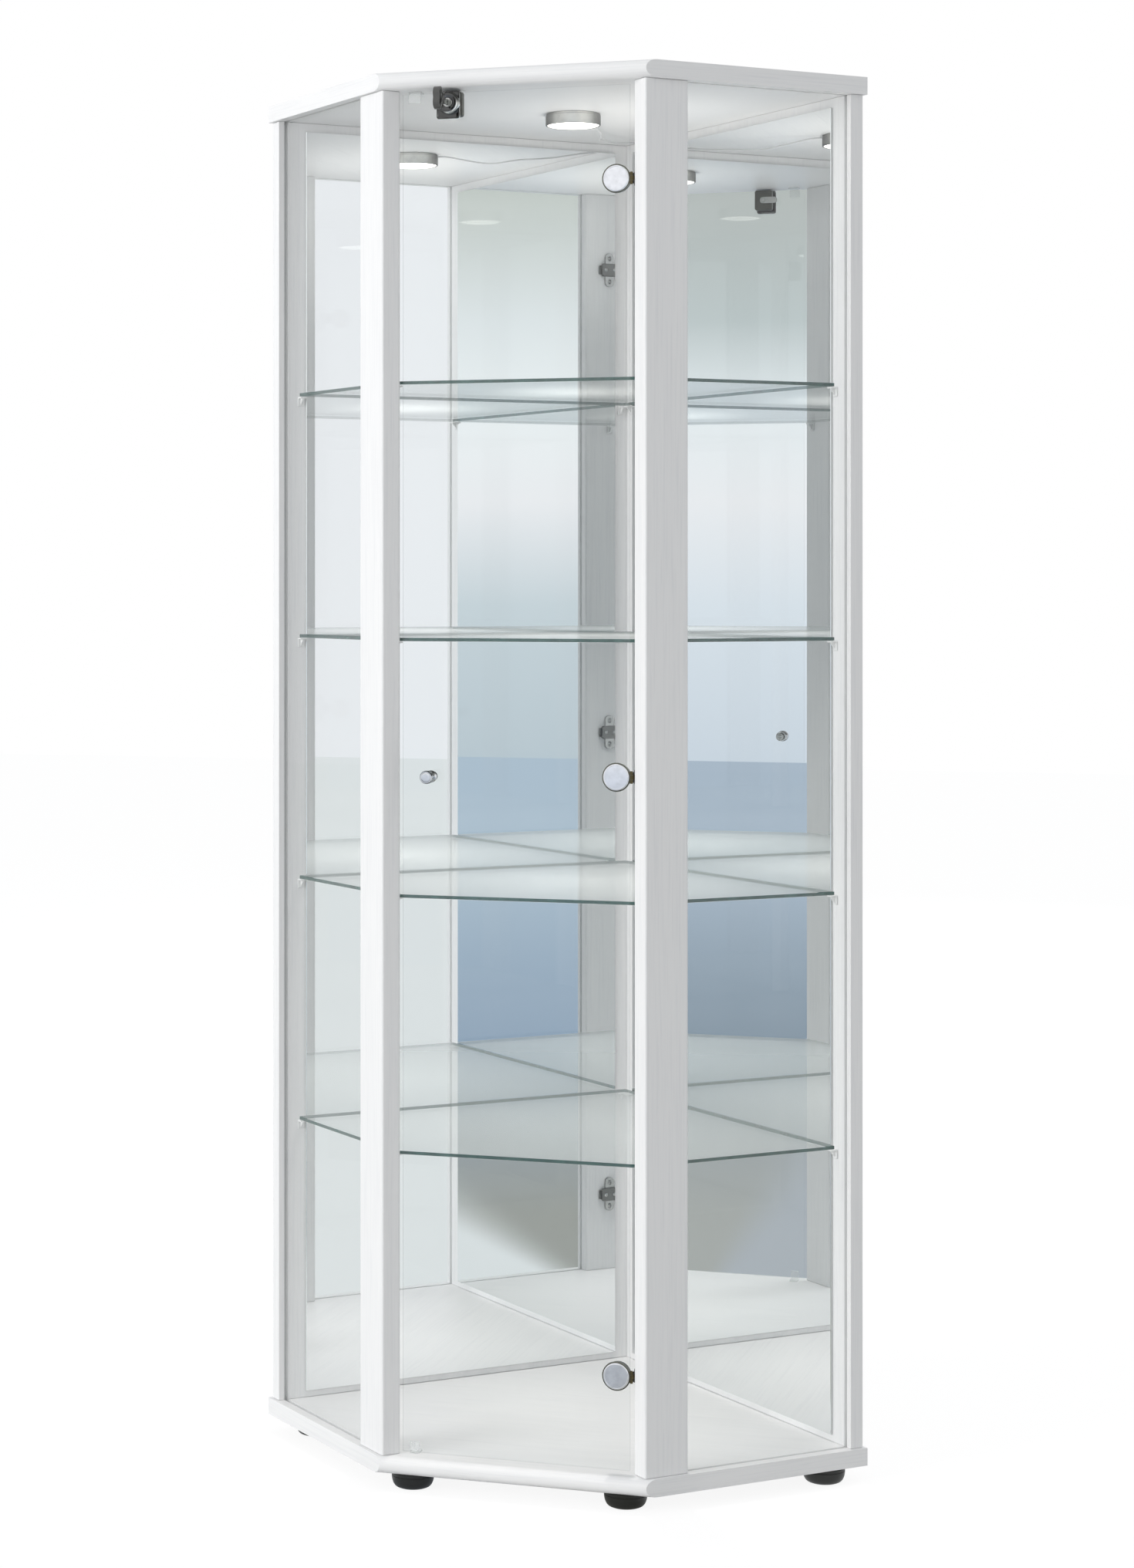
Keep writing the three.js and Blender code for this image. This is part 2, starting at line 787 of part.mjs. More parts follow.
// Lock: a chrome front plate with a round boss, saddled over the notched top edge of the glass
function lockHousing() {
  const left = lockX - lockWidth / 2;
  const right = lockX + lockWidth / 2;
  const bottom = lockTop - lockHeight;
  const plate = block(left, right, -lockFace - lockPlateThickness, -lockFace, bottom, lockTop);
  const bossProfile = [
    new THREE.Vector2(0, 0),
    new THREE.Vector2(lockBossRadius, 0),
    new THREE.Vector2(lockBossRadius, lockPlateThickness + lockBossLength - lockBossRound),
    new THREE.Vector2(lockBossRadius - lockBossRound, lockPlateThickness + lockBossLength),
    new THREE.Vector2(0, lockPlateThickness + lockBossLength),
  ];
  const boss = turnTowardsFront(bossProfile, roundSides).translate(lockX, -lockFace, plugZ);
  const neck = block(
    lockX - lockNeckWidth / 2,
    lockX + lockNeckWidth / 2,
    -lockFace - lockPlateThickness / 2,
    -lockRear - overrun,
    lockTop - lockNeckHeight,
    lockTop,
  );
  const saddle = block(
    left,
    right,
    -lockFace - lockPlateThickness / 2,
    -lockRear - overrun,
    doorTop + seatGap,
    lockTop,
  );
  const rear = block(left, right, seatGap - doorRear, -lockRear, bottom, lockTop);
  const bore = rodAlongY(
    plugRadius + seatGap,
    -lockBossFace - overrun,
    -lockRear + overrun,
    lockX,
    plugZ,
    roundSides,
  );
  const whole = cut(joined(plate, boss, neck, saddle, rear), [bore]);
  return mesh('lock_housing', geometryOf(whole), chrome());
}

// Lock plug: turns in the housing, takes the key in front and carries the cam behind
function lockPlug() {
  const barrel = rodAlongY(plugRadius, -lockBossFace, -lockRear, lockX, plugZ, roundSides);
  const tail = rodAlongY(
    plugTailRadius,
    -lockRear - overrun,
    -camRear + seatGap,
    lockX,
    plugZ,
    smallSides,
  );
  const keyway = block(
    lockX - keywayWidth / 2,
    lockX + keywayWidth / 2,
    -lockBossFace - overrun,
    -lockBossFace + keywayDepth,
    plugZ - keywayHeight / 2,
    plugZ + keywayHeight / 2,
  );
  return mesh('lock_plug', geometryOf(cut(joined(barrel, tail), [keyway])), chrome());
}

// Cam: lies level when unlocked and stands up into the top panel's slot when locked
function lockCam() {
  const outline = new THREE.Shape();
  outline.absarc(0, 0, camHalfWidth, Math.PI / 2, -Math.PI / 2, true);
  outline.absarc(camHalfWidth - camReach, 0, camHalfWidth, -Math.PI / 2, -3 * Math.PI / 2, true);
  const hole = rodAlongY(
    plugTailRadius + seatGap,
    -camThickness - overrun,
    overrun,
    0,
    0,
    smallSides,
  );
  const blank = solid(runTowardsFront(outline, camThickness));
  const cam = mesh('lock_cam', geometryOf(cut(blank, [hole])), chrome());
  cam.position.set(lockX, -camRear, plugZ);
  return cam;
}

// Key: a flat blade in the plug and a two-lobed moulded bow standing upright
function lockKey() {
  const rise = keyBowHeight / 2 - keyBowLobeRadius;
  const centre = keyBowLobeRadius - keyBowDepth;
  const bow = new THREE.Shape();
  bow.moveTo(0, -keyBowNeck / 2);
  bow.absarc(centre, -rise, keyBowLobeRadius, -Math.PI / 2, -Math.PI, true);
  bow.lineTo(keyBowNotch - keyBowDepth, 0);
  bow.absarc(centre, rise, keyBowLobeRadius, Math.PI, Math.PI / 2, true);
  bow.lineTo(0, keyBowNeck / 2);
  const head = runAlongX(bow, keyBowThickness).translate(0, -lockBossFace - keyShankLength, 0);
  const blade = block(
    seatGap - keywayWidth / 2,
    keywayWidth / 2 - seatGap,
    -lockBossFace - keyShankLength - keyBowNeck / 2,
    keywayDepth - lockBossFace - seatGap,
    seatGap - keywayHeight / 2,
    keywayHeight / 2 - seatGap,
  );
  const key = mesh('lock_key', geometryOf(joined(head, blade)), blackPlastic());
  key.position.set(lockX, 0, plugZ);
  return key;
}

// Door stops: small angle pieces behind the free edge of the glass
function doorStop(name, width, z, upwards) {
  const reach = upwards ? stopDrop : -stopDrop;
  const wall = upwards ? stopWall : -stopWall;
  const section = new THREE.Shape();
  section.moveTo(0, 0);
  section.lineTo(stopDepth, 0);
  section.lineTo(stopDepth, wall);
  section.lineTo(stopWall, wall);
  section.lineTo(stopWall, reach);
  section.lineTo(0, reach);
  const stop = mesh(name, runAlongX(section, width), clearPlastic());
  stop.position.set(doorLeft + stopInset + stopTopWidth / 2, seatGap - doorRear, z);
  return stop;
}

const hingeNames = ['bottom', 'middle', 'top'];
hingeHeights.forEach((height, index) => {
  const cup = hingeCup(height);
  cup.name = 'hinge_cup_' + hingeNames[index];
  frontFrame.add(cup);
  const plate = hingePlate(height);
  plate.name = 'hinge_plate_' + hingeNames[index];
  wallFrame.add(plate);
});

frontFrame.add(
  doorGlass(),
  doorKnob(),
  lockHousing(),
  lockPlug(),
  lockCam(),
  lockKey(),
  doorStop('door_stop_top', stopTopWidth, underTop - seatGap, false),
  doorStop('door_stop_bottom', stopBottomWidth, overBase + seatGap, true),
);

// Lamp: a round puck under the top with a slightly domed lens
function lampHousing() {
  const seatRadius = lampLensRadius + seatGap;
  const profile = [
    new THREE.Vector2(0, lampLensRecess),
    new THREE.Vector2(seatRadius, lampLensRecess),
    new THREE.Vector2(seatRadius, 0),
    new THREE.Vector2(lampRadius - lampRound, 0),
    new THREE.Vector2(lampRadius, lampRound),
    new THREE.Vector2(lampRadius, lampHeight),
    new THREE.Vector2(0, lampHeight),
  ];
  const turned = new THREE.LatheGeometry(profile, 2 * roundSides).rotateX(Math.PI / 2);
  const housing = mesh('lamp_housing', turned, greyPlastic());
  housing.position.set(lampAside, -lampForward, underTop - seatGap - lampHeight);
  return housing;
}

function lampLens() {
  const profile = [new THREE.Vector2(0, -lampLensDome)];
  for (let step = 1; step <= arcSteps; step += 1) {
    const out = step / arcSteps;
    profile.push(new THREE.Vector2(lampLensRadius * out, -lampLensDome * (1 - out * out)));
  }
  profile.push(
    new THREE.Vector2(lampLensRadius, lampLensRecess - seatGap),
    new THREE.Vector2(0, lampLensRecess - seatGap),
  );
  const turned = new THREE.LatheGeometry(profile, 2 * roundSides).rotateX(Math.PI / 2);
  const lens = mesh('lamp_lens', turned, lampLight());
  lens.position.set(lampAside, -lampForward, underTop - seatGap - lampHeight);
  return lens;
}

// Lamp lead: hangs in one low bow from the lamp to a hole in the right back panel
function leadHole() {
  const [, along, drop] = leadRoute[leadRoute.length - 1];
  const radius = leadRadius + seatGap;
  const drill = new THREE.CylinderGeometry(radius, radius, leadHoleDepth + overrun, smallSides);
  return drill.rotateZ(Math.PI / 2).translate(
    innerFace + (overrun - leadHoleDepth) / 2,
    along,
    underTop - drop,
  );
}

// The lead's near end follows the lamp, and its far end stays in the hole
function leadPoint([u, v, drop], index) {
  const share = Math.max(0, 1 - (index / leadFollowers) ** 2);
  const ahead = share * (lampForward - leadRouteForward);
  const aside = share * (lampAside - leadRouteAside);
  return new THREE.Vector3(
    u + (ahead - aside) * Math.SQRT1_2,
    v + (ahead + aside) * Math.SQRT1_2,
    underTop - drop,
  );
}

function lampLead() {
  const points = leadRoute.map(leadPoint);
  const section = [];
  for (let side = 0; side < leadSides; side += 1) {
    const angle = (side / leadSides) * 2 * Math.PI;
    section.push(new THREE.Vector2(leadRadius * Math.cos(angle), leadRadius * Math.sin(angle)));
  }
  const tube = new THREE.ExtrudeGeometry(new THREE.Shape(section), {
    steps: leadSteps,
    bevelEnabled: false,
    extrudePath: new THREE.CatmullRomCurve3(points),
  });
  return mesh('lamp_lead', tube, greyPlastic());
}

frontFrame.add(lampHousing(), lampLens());
wallFrame.add(lampLead());

export default cabinet;
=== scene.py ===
import json
import math
import bpy
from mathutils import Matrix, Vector


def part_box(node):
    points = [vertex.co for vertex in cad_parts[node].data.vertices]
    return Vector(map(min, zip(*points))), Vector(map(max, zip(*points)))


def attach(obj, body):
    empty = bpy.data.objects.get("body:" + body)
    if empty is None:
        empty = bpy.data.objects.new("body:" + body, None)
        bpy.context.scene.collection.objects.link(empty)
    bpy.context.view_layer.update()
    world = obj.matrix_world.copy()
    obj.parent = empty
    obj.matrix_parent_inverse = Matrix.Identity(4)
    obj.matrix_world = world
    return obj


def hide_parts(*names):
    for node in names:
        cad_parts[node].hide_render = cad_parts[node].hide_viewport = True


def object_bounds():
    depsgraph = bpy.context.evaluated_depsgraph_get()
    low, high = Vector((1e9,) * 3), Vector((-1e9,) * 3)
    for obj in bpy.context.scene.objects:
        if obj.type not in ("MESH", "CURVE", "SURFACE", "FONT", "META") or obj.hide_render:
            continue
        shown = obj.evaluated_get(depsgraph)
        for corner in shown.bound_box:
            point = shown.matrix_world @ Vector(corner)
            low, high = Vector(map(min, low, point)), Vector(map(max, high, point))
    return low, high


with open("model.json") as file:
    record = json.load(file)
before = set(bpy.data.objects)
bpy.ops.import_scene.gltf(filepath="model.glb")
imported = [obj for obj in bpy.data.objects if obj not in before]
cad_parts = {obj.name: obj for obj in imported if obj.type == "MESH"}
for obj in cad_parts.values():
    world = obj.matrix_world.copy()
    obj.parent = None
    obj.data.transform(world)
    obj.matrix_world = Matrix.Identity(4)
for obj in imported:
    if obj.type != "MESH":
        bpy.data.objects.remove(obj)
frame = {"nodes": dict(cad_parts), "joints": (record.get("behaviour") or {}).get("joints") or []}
cadLow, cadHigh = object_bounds()
print("frame loaded:", len(frame["nodes"]), "nodes")

# the cabinet's rear corner is at the back; u runs forward along the left wall and v along the right one
rearY = cadHigh.y
diagonal = 1 / math.sqrt(2)


def wallPoint(u, v, z):
    return Vector(((v - u) * diagonal, rearY - (u + v) * diagonal, z))


def nodeMiddle(nodeName):
    low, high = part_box(nodeName)
    return (low + high) / 2


# selecting and shaping

def clearSelection():
    if bpy.context.object and bpy.context.object.mode != "OBJECT":
        bpy.ops.object.mode_set(mode="OBJECT")
    bpy.ops.object.select_all(action="DESELECT")


def pick(piece):
    clearSelection()
    piece.select_set(True)
    bpy.context.view_layer.objects.active = piece


def editMode(piece, action="SELECT"):
    pick(piece)
    bpy.ops.object.mode_set(mode="EDIT")
    bpy.ops.mesh.select_mode(type="FACE")
    bpy.ops.mesh.select_all(action=action)


def objectMode():
    bpy.ops.object.mode_set(mode="OBJECT")


squareOn = 0.9                   # a face looks along an axis where its normal has this much of it


def selectFaces(piece, wanted):
    editMode(piece, "DESELECT")
    objectMode()
    for face in piece.data.polygons:
        face.select = wanted(face)
    bpy.ops.object.mode_set(mode="EDIT")


def selectEdges(piece, wanted):
    editMode(piece, "DESELECT")
    bpy.ops.mesh.select_mode(type="EDGE")
    objectMode()
    corners = piece.data.vertices
    for edge in piece.data.edges:
        first, second = (corners[i].co for i in edge.vertices)
        edge.select = wanted(first, second)
    bpy.ops.object.mode_set(mode="EDIT")


def addModifier(piece, kind, **values):
    modifier = piece.modifiers.new(kind.lower(), kind)
    for name, value in values.items():
        setattr(modifier, name, value)
    pick(piece)
    bpy.ops.object.modifier_apply(modifier=modifier.name)


def settle(piece):
    pick(piece)
    bpy.ops.object.transform_apply(location=True, rotation=True, scale=True)


def turnAndPlace(piece, degrees, place):
    piece.rotation_euler = (0, 0, math.radians(degrees))
    piece.location = place
    settle(piece)
    return piece


sharpAngle = math.radians(34)    # an edge is sharp where it turns by more than this
flatWeight = 100                 # how far a large face decides the shading of its eased edges
edgeRadius = {"hair": 0.0001, "fine": 0.0002, "small": 0.0003, "soft": 0.0004}    # in metres
edgeSteps = 2
roundSteps = 3                   # for an edge so round that it shows


# eases sharp edges, and keeps flat faces flat in what they mirror
def ease(piece, radius=0, steps=edgeSteps):
    if radius > 0:
        addModifier(
            piece, "BEVEL", width=radius, segments=steps, limit_method="ANGLE", angle_limit=sharpAngle,
        )
    pick(piece)
    bpy.ops.object.shade_smooth_by_angle(angle=sharpAngle)
    addModifier(piece, "WEIGHTED_NORMAL", keep_sharp=True, weight=flatWeight)
    return piece


def wear(piece, body, slotName, material, *replaced):
    piece.data.materials.clear()
    piece.data.materials.append(material)
    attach(piece, body)
    if replaced:
        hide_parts(*replaced)
    return piece


weldReach = 1e-5                 # corners of a node that lie this near are one
flatAngle = math.radians(1)      # and its triangles that turn by less than this are one face


# a copy of a CAD node with its triangles joined to flat faces
def mergedCopy(nodeName, pieceName):
    piece = bpy.data.objects.new(pieceName, frame["nodes"][nodeName].data.copy())
    bpy.context.scene.collection.objects.link(piece)
    editMode(piece)
    bpy.ops.mesh.remove_doubles(threshold=weldReach)
    bpy.ops.mesh.dissolve_limited(angle_limit=flatAngle)
    objectMode()
    return piece


def roundBlank(name, centre, axis, radius, sides):
    turn = {"up": (0, 0, 0), "front": (math.pi / 2, 0, 0)}[axis]
    clearSelection()
    bpy.ops.mesh.primitive_circle_add(
        vertices=sides, radius=radius, fill_type="NGON", location=centre, rotation=turn,
    )
    piece = bpy.context.object
    piece.name = name
    settle(piece)
    return piece


# corners round a turned piece
roundSides = {"pin": 28, "screw": 32, "small": 48, "medium": 64, "large": 72, "lamp": 96}


# a turned piece: a disc drawn out along its axis, each step with its own radius and distance
def turned(name, centre, axis, profile, sides):
    direction = {"up": Vector((0, 0, 1)), "front": Vector((0, -1, 0))}[axis]
    radius, distance = profile[0]
    piece = roundBlank(name, centre + direction * distance, axis, radius, sides)
    editMode(piece)
    for nextRadius, nextDistance in profile[1:]:
        step = direction * (nextDistance - distance)
        share = nextRadius / radius
        scale = (share, share, 1) if axis == "up" else (share, 1, share)
        bpy.ops.mesh.extrude_region_move(TRANSFORM_OT_translate={"value": step})
        bpy.ops.transform.resize(value=scale, center_override=centre + direction * nextDistance)
        radius, distance = nextRadius, nextDistance
    bpy.ops.mesh.select_all(action="SELECT")
    bpy.ops.mesh.normals_make_consistent(inside=False)
    objectMode()
    return piece


def blockBetween(name, low, high):
    low, high = Vector(low), Vector(high)
    clearSelection()
    bpy.ops.mesh.primitive_cube_add(size=1, location=(low + high) / 2, scale=high - low)
    piece = bpy.context.object
    piece.name = name
    settle(piece)
    return piece


cornerSteps = 5
sameSpot = 1e-6                  # two places nearer than this are level with each other


# rounds the edges of a block that run along one axis
def roundCorners(piece, axis, radius):
    others = [i for i in range(3) if i != "xyz".index(axis)]
    selectEdges(piece, lambda a, b: all(abs(a[i] - b[i]) < sameSpot for i in others))
    bpy.ops.mesh.bevel(offset=radius, segments=cornerSteps, affect="EDGES")
    objectMode()
    return piece


def joinInto(piece, *others):
    clearSelection()
    for other in others:
        other.select_set(True)
    piece.select_set(True)
    bpy.context.view_layer.objects.active = piece
    bpy.ops.object.join()
    return piece


def carve(piece, cutter):
    addModifier(piece, "BOOLEAN", operation="DIFFERENCE", solver="EXACT", object=cutter)
    bpy.data.objects.remove(cutter)
    return piece


# materials

# links what comes from another node to an input, and sets a number, vector or colour on it
def fill(tree, node, inputs):
    for key, value in inputs.items():
        socket = node.inputs[key]
        if isinstance(value, bpy.types.NodeSocket):
            tree.links.new(value, socket)
        else:
            socket.default_value = (*value, 1) if socket.type == "RGBA" else value


def newNode(tree, kind, inputs, **settings):
    node = tree.nodes.new("ShaderNode" + kind)
    for name, value in settings.items():
        setattr(node, name, value)
    fill(tree, node, inputs)
    return node


# an output of a node that needs no input
def reading(tree, kind, name):
    return tree.nodes.new("ShaderNode" + kind).outputs[name]


def newMaterial(name, color, roughness, metallic=0.0):
    material = bpy.data.materials.new(name)
    material.use_nodes = True
    tree = material.node_tree
    shader = tree.nodes["Principled BSDF"]
    fill(tree, shader, {"Base Color": color, "Roughness": roughness, "Metallic": metallic})
    return material, tree, shader


def setSurface(tree, whole):
    fill(tree, tree.nodes["Material Output"], {"Surface": whole})


def objectPattern(tree, scale=(1, 1, 1)):
    place = reading(tree, "TexCoord", "Object")
    return newNode(tree, "Mapping", {"Vector": place, "Scale": scale}).outputs["Vector"]


def noise(tree, vector, scale, detail, roughness=0.55, distortion=0.0):
    return newNode(tree, "TexNoise", {
        "Vector": vector, "Scale": scale, "Detail": detail,
        "Roughness": roughness, "Distortion": distortion,
    }).outputs["Fac"]


def ramp(tree, value, stops):
    node = newNode(tree, "ValToRGB", {"Fac": value})
    elements = node.color_ramp.elements
    while len(elements) < len(stops):
        elements.new(0.5)        # its real place is set below
    for element, (position, color) in zip(elements, stops):
        element.position = position
        element.color = (*color, 1)
    return node.outputs["Color"]


def greyRamp(tree, value, tones):
    return ramp(tree, value, [(at, (tone, tone, tone)) for at, tone in tones])


def twoTones(tree, value, first, second, stops=(0.3, 0.7)):
    return ramp(tree, value, list(zip(stops, (first, second))))


def mapped(tree, value, source=(0.0, 1.0), target=(0.0, 1.0), step="LINEAR"):
    ends = dict(zip(("From Min", "From Max", "To Min", "To Max"), (*source, *target)))
    return newNode(tree, "MapRange", {"Value": value, **ends}, interpolation_type=step).outputs["Result"]


def sums(tree, operation, first, second=0.0):
    return newNode(tree, "Math", {0: first, 1: second}, operation=operation).outputs["Value"]


def mixColors(tree, factor, first, second, way="MIX"):
    node = tree.nodes.new("ShaderNodeMix")
    node.data_type = "RGBA"
    node.blend_type = way
    low, high = (i for i, socket in enumerate(node.inputs) if socket.type == "RGBA")
    fill(tree, node, {0: factor, low: first, high: second})
    return next(socket for socket in node.outputs if socket.type == "RGBA")


def multiplied(tree, first, second):
    return mixColors(tree, 1.0, first, second, "MULTIPLY")


def mixShaders(tree, factor, first, second):
    return newNode(tree, "MixShader", {0: factor, 1: first, 2: second}).outputs["Shader"]


def bumped(tree, height, strength, distance):
    inputs = {"Height": height, "Strength": strength, "Distance": distance}
    return newNode(tree, "Bump", inputs).outputs["Normal"]


# how far a direction goes one way, from -1 to 1
def along(tree, direction, way):
    return newNode(tree, "VectorMath", {0: direction, 1: way}, operation="DOT_PRODUCT").outputs["Value"]


# how far a surface faces one way of its own piece, from -1 to 1
def facingWay(tree, way):
    return along(tree, reading(tree, "TexCoord", "Normal"), way)


# noise patterns are given by scale and detail, and some by roughness and distortion too
boardFinish = {
    "light": (0.890, 0.890, 0.888),
    "roughness": 0.38,
    "fine": (420.0, 6.0, 0.62, 0.4),      # grain lines across a metre of board
    "pores": [(0.36, (0.838, 0.841, 0.846)), (0.47, (0.877, 0.878, 0.878)), (0.56, (0.890, 0.890, 0.888))],
    "wide": (38.0, 4.0, 0.55, 1.2),       # the broader bands of the ash figure
    "figure": [(0.38, (0.982, 0.983, 0.985)), (0.5, (0.992, 0.992, 0.993)), (0.62, (1, 1, 1))],
    "roughnessEnds": (0.32, 0.44),
    "stretch": 0.022,                     # width of the grain against its length
    "grainDepth": 0.0002,
    "grainStrength": 0.35,
}


# white melamine with a printed and pressed ash grain
def whiteBoard(name, scale):
    finish = boardFinish
    material, tree, shader = newMaterial(name, finish["light"], finish["roughness"])
    vector = objectPattern(tree, scale)
    fine = noise(tree, vector, *finish["fine"])
    wide = noise(tree, vector, *finish["wide"])
    pores, figure = ramp(tree, fine, finish["pores"]), ramp(tree, wide, finish["figure"])
    fill(tree, shader, {
        "Base Color": multiplied(tree, pores, figure),
        "Roughness": mapped(tree, wide, target=finish["roughnessEnds"]),
        "Normal": bumped(tree, fine, finish["grainStrength"], finish["grainDepth"]),
    })
    return material


glassFinish = {
    "headOn": 0.034,              # what a face mirrors where it is seen straight on
    "grazing": 0.9,               # and what more where it is seen along its plane
    "grazingPower": 5.0,
    "face": (0.994, 0.999, 0.998),
    "edge": (0.022, 0.062, 0.054),
    "edgePale": (0.0374, 0.1054, 0.0918),
    "edgeStreaks": (60.0, 2.0),
    "edgeRoughness": 0.1,
    "faceCut": 0.7,               # a large face keeps more than this of the pane's normal
    "rearCut": 0.5,               # a rear edge looks backwards by more than this
    "film": (0.90, 0.93, 0.93),   # the fine dust that shows where a shelf is seen flat
    "filmPower": 4.0,
    "filmThrough": 0.5,           # share of the dust's light that goes on through the shelf
    "filmShadeHeights": (0.74, 1.38),  # thinned upwards as painted shade, where the lamp would show it up
    "filmShadeShares": (1.0, 0.14),
}


# 1 on the two large faces of a pane and 0 on its ground edges
def isPaneFace(tree, paneNormal):
    size = sums(tree, "ABSOLUTE", facingWay(tree, paneNormal))
    return sums(tree, "GREATER_THAN", size, glassFinish["faceCut"])


def dustFilm(tree, vector, slant, haze, face):
    finish = glassFinish
    film, through = (
        newNode(tree, kind, {"Color": finish["film"]}).outputs["BSDF"]
        for kind in ("BsdfDiffuse", "BsdfTranslucent")
    )
    both = mixShaders(tree, finish["filmThrough"], film, through)
    height = newNode(tree, "SeparateXYZ", {"Vector": vector}).outputs["Z"]
    # painted shade: the dust is thinned upwards so that the lamp does not light it up on the upper shelves
    shadedUpwards = mapped(tree, height, finish["filmShadeHeights"], finish["filmShadeShares"])
    flatter = sums(tree, "POWER", slant, finish["filmPower"])
    dust = sums(tree, "MULTIPLY", flatter, sums(tree, "MULTIPLY", shadedUpwards, haze))
    return mixShaders(tree, dust, face, both)


# clear float glass: the faces mirror more the flatter they are seen, the edges show the glass's green
def paneGlass(
    name, paneNormal, edgeShow, faceColor=glassFinish["face"], grazing=glassFinish["grazing"],
    rearShow=None, haze=0.0,
):
    finish = glassFinish
    material, tree, shader = newMaterial(name, finish["edge"], finish["edgeRoughness"])
    vector = objectPattern(tree)
    streaks = noise(tree, vector, *finish["edgeStreaks"])
    fill(tree, shader, {"Base Color": twoTones(tree, streaks, finish["edge"], finish["edgePale"])})
    clear = newNode(tree, "BsdfTransparent", {"Color": faceColor}).outputs["BSDF"]
    gloss = newNode(tree, "BsdfGlossy", {"Roughness": 0.0}).outputs["BSDF"]
    # the same share on the way in and on the way out, because a pane this thin bends nothing
    slant = reading(tree, "LayerWeight", "Facing")
    rise = sums(tree, "MULTIPLY", sums(tree, "POWER", slant, finish["grazingPower"]), grazing)
    mirrored = sums(tree, "ADD", rise, finish["headOn"])
    face = mixShaders(tree, mirrored, clear, gloss)
    if haze:
        face = dustFilm(tree, vector, slant, haze, face)
    if rearShow is not None:
        atRear = sums(tree, "GREATER_THAN", facingWay(tree, (0, 1, 0)), finish["rearCut"])
        edgeShow = mapped(tree, atRear, target=(edgeShow, rearShow))
    edge = mixShaders(tree, edgeShow, clear, shader.outputs["BSDF"])
    seen = mixShaders(tree, isPaneFace(tree, paneNormal), edge, face)
    # light passes a pane without the noise of a mirrored ray
    path = tree.nodes.new("ShaderNodeLightPath").outputs
    lighting = sums(tree, "MAXIMUM", path["Is Shadow Ray"], path["Is Diffuse Ray"])
    setSurface(tree, mixShaders(tree, lighting, seen, reading(tree, "BsdfTransparent", "BSDF")))
    return material


mirrorGlassFinish = {
    "silver": (0.955, 0.968, 0.972),
    "silverDeep": (0.945, 0.962, 0.967),
    "clouds": (3.0, 2.0),
    "edge": (0.62, 0.64, 0.63),
    "edgeRoughness": 0.25,
}


# silvered float glass with ground edges
def mirrorGlass(name, paneNormal):
    finish = mirrorGlassFinish
    material, tree, shader = newMaterial(name, finish["silver"], 0.0, 1.0)
    cloud = noise(tree, objectPattern(tree), *finish["clouds"])
    fill(tree, shader, {"Base Color": twoTones(tree, cloud, finish["silverDeep"], finish["silver"])})
    edge = {"Base Color": finish["edge"], "Roughness": finish["edgeRoughness"]}
    ground = newNode(tree, "BsdfPrincipled", edge).outputs["BSDF"]
    setSurface(tree, mixShaders(tree, isPaneFace(tree, paneNormal), ground, shader.outputs["BSDF"]))
    return material


metalFinish = {
    "specks": (900.0, 3.0),
    "spread": 0.04,               # how far the specks take the roughness up and down
    "tarnish": (112.5, 3.0),
    "tarnished": 0.9,             # share of the colour that tarnish leaves
    "tarnishStops": (0.35, 0.6),
}


# the first tones paint shade and reflection into the colour, darker by how far the metal turns away, from
# 0 seen straight on to 1;
# the second is a way with tones by how far the metal faces it, from 0 turned from it to 1: a painted
# highlight on one side and painted shade on the other
def metal(name, color, roughness, spread=metalFinish["spread"], metallic=1.0, tones=None, paintedLightAndShade=None):
    finish = metalFinish
    material, tree, shader = newMaterial(name, color, roughness, metallic)
    vector = objectPattern(tree)
    speck = noise(tree, vector, *finish["specks"])
    ends = (max(0.0, roughness - spread), roughness + spread)
    tarnish = noise(tree, vector, *finish["tarnish"])
    worn = tuple(finish["tarnished"] * c for c in color)
    surface = twoTones(tree, tarnish, worn, color, finish["tarnishStops"])
    # painted reflection and shade: the colour darkens as the metal turns from the eye
    if tones:
        surface = multiplied(tree, surface, greyRamp(tree, reading(tree, "LayerWeight", "Facing"), tones))
    # painted highlight and shade: the colour changes by how far the metal faces one way
    if paintedLightAndShade:
        way, tones = paintedLightAndShade
        share = mapped(tree, facingWay(tree, way), source=(-1.0, 1.0))
        surface = multiplied(tree, surface, greyRamp(tree, share, tones))
    fill(tree, shader, {"Base Color": surface, "Roughness": mapped(tree, speck, target=ends)})
    return material


plasticFinish = {
    "grain": (1600.0, 4.0),
    "grainDark": 0.88,            # share of the colour in the low spots of the grain
    "grainStops": (0.35, 0.65),
    "grainDepth": 0.0002,
    "relief": 0.12,
    "clouds": (300.0, 2.0),
    "cloudDensity": 0.06,         # how far they thicken and thin a clear plastic
}


def mouldedPlastic(name, color, roughness, relief=plasticFinish["relief"]):
    finish = plasticFinish
    material, tree, shader = newMaterial(name, color, roughness)
    grain = noise(tree, objectPattern(tree), *finish["grain"])
    dark = tuple(finish["grainDark"] * c for c in color)
    fill(tree, shader, {
        "Base Color": twoTones(tree, grain, dark, color, finish["grainStops"]),
        "Normal": bumped(tree, grain, relief, finish["grainDepth"]),
    })
    return material


# clear where it is seen straight on, and denser where it turns away
def clearPlastic(name, color, roughness, thin, dense):
    material, tree, shader = newMaterial(name, color, roughness)
    cloud = noise(tree, objectPattern(tree), *plasticFinish["clouds"])
    density = mapped(tree, reading(tree, "LayerWeight", "Facing"), target=(thin, dense))
    depth = plasticFinish["cloudDensity"]
    cloudy = sums(tree, "ADD", density, mapped(tree, cloud, target=(-depth, depth)))
    fill(tree, shader, {"Alpha": cloudy})
    return material


lensFinish = {
    "color": (1.0, 0.95, 0.86),
    "roughness": 0.4,
    "frost": (1200.0, 2.0),
    "glows": ((1.0, 0.955, 0.87), (1.0, 0.975, 0.92)),
    "strength": 3.0,
}


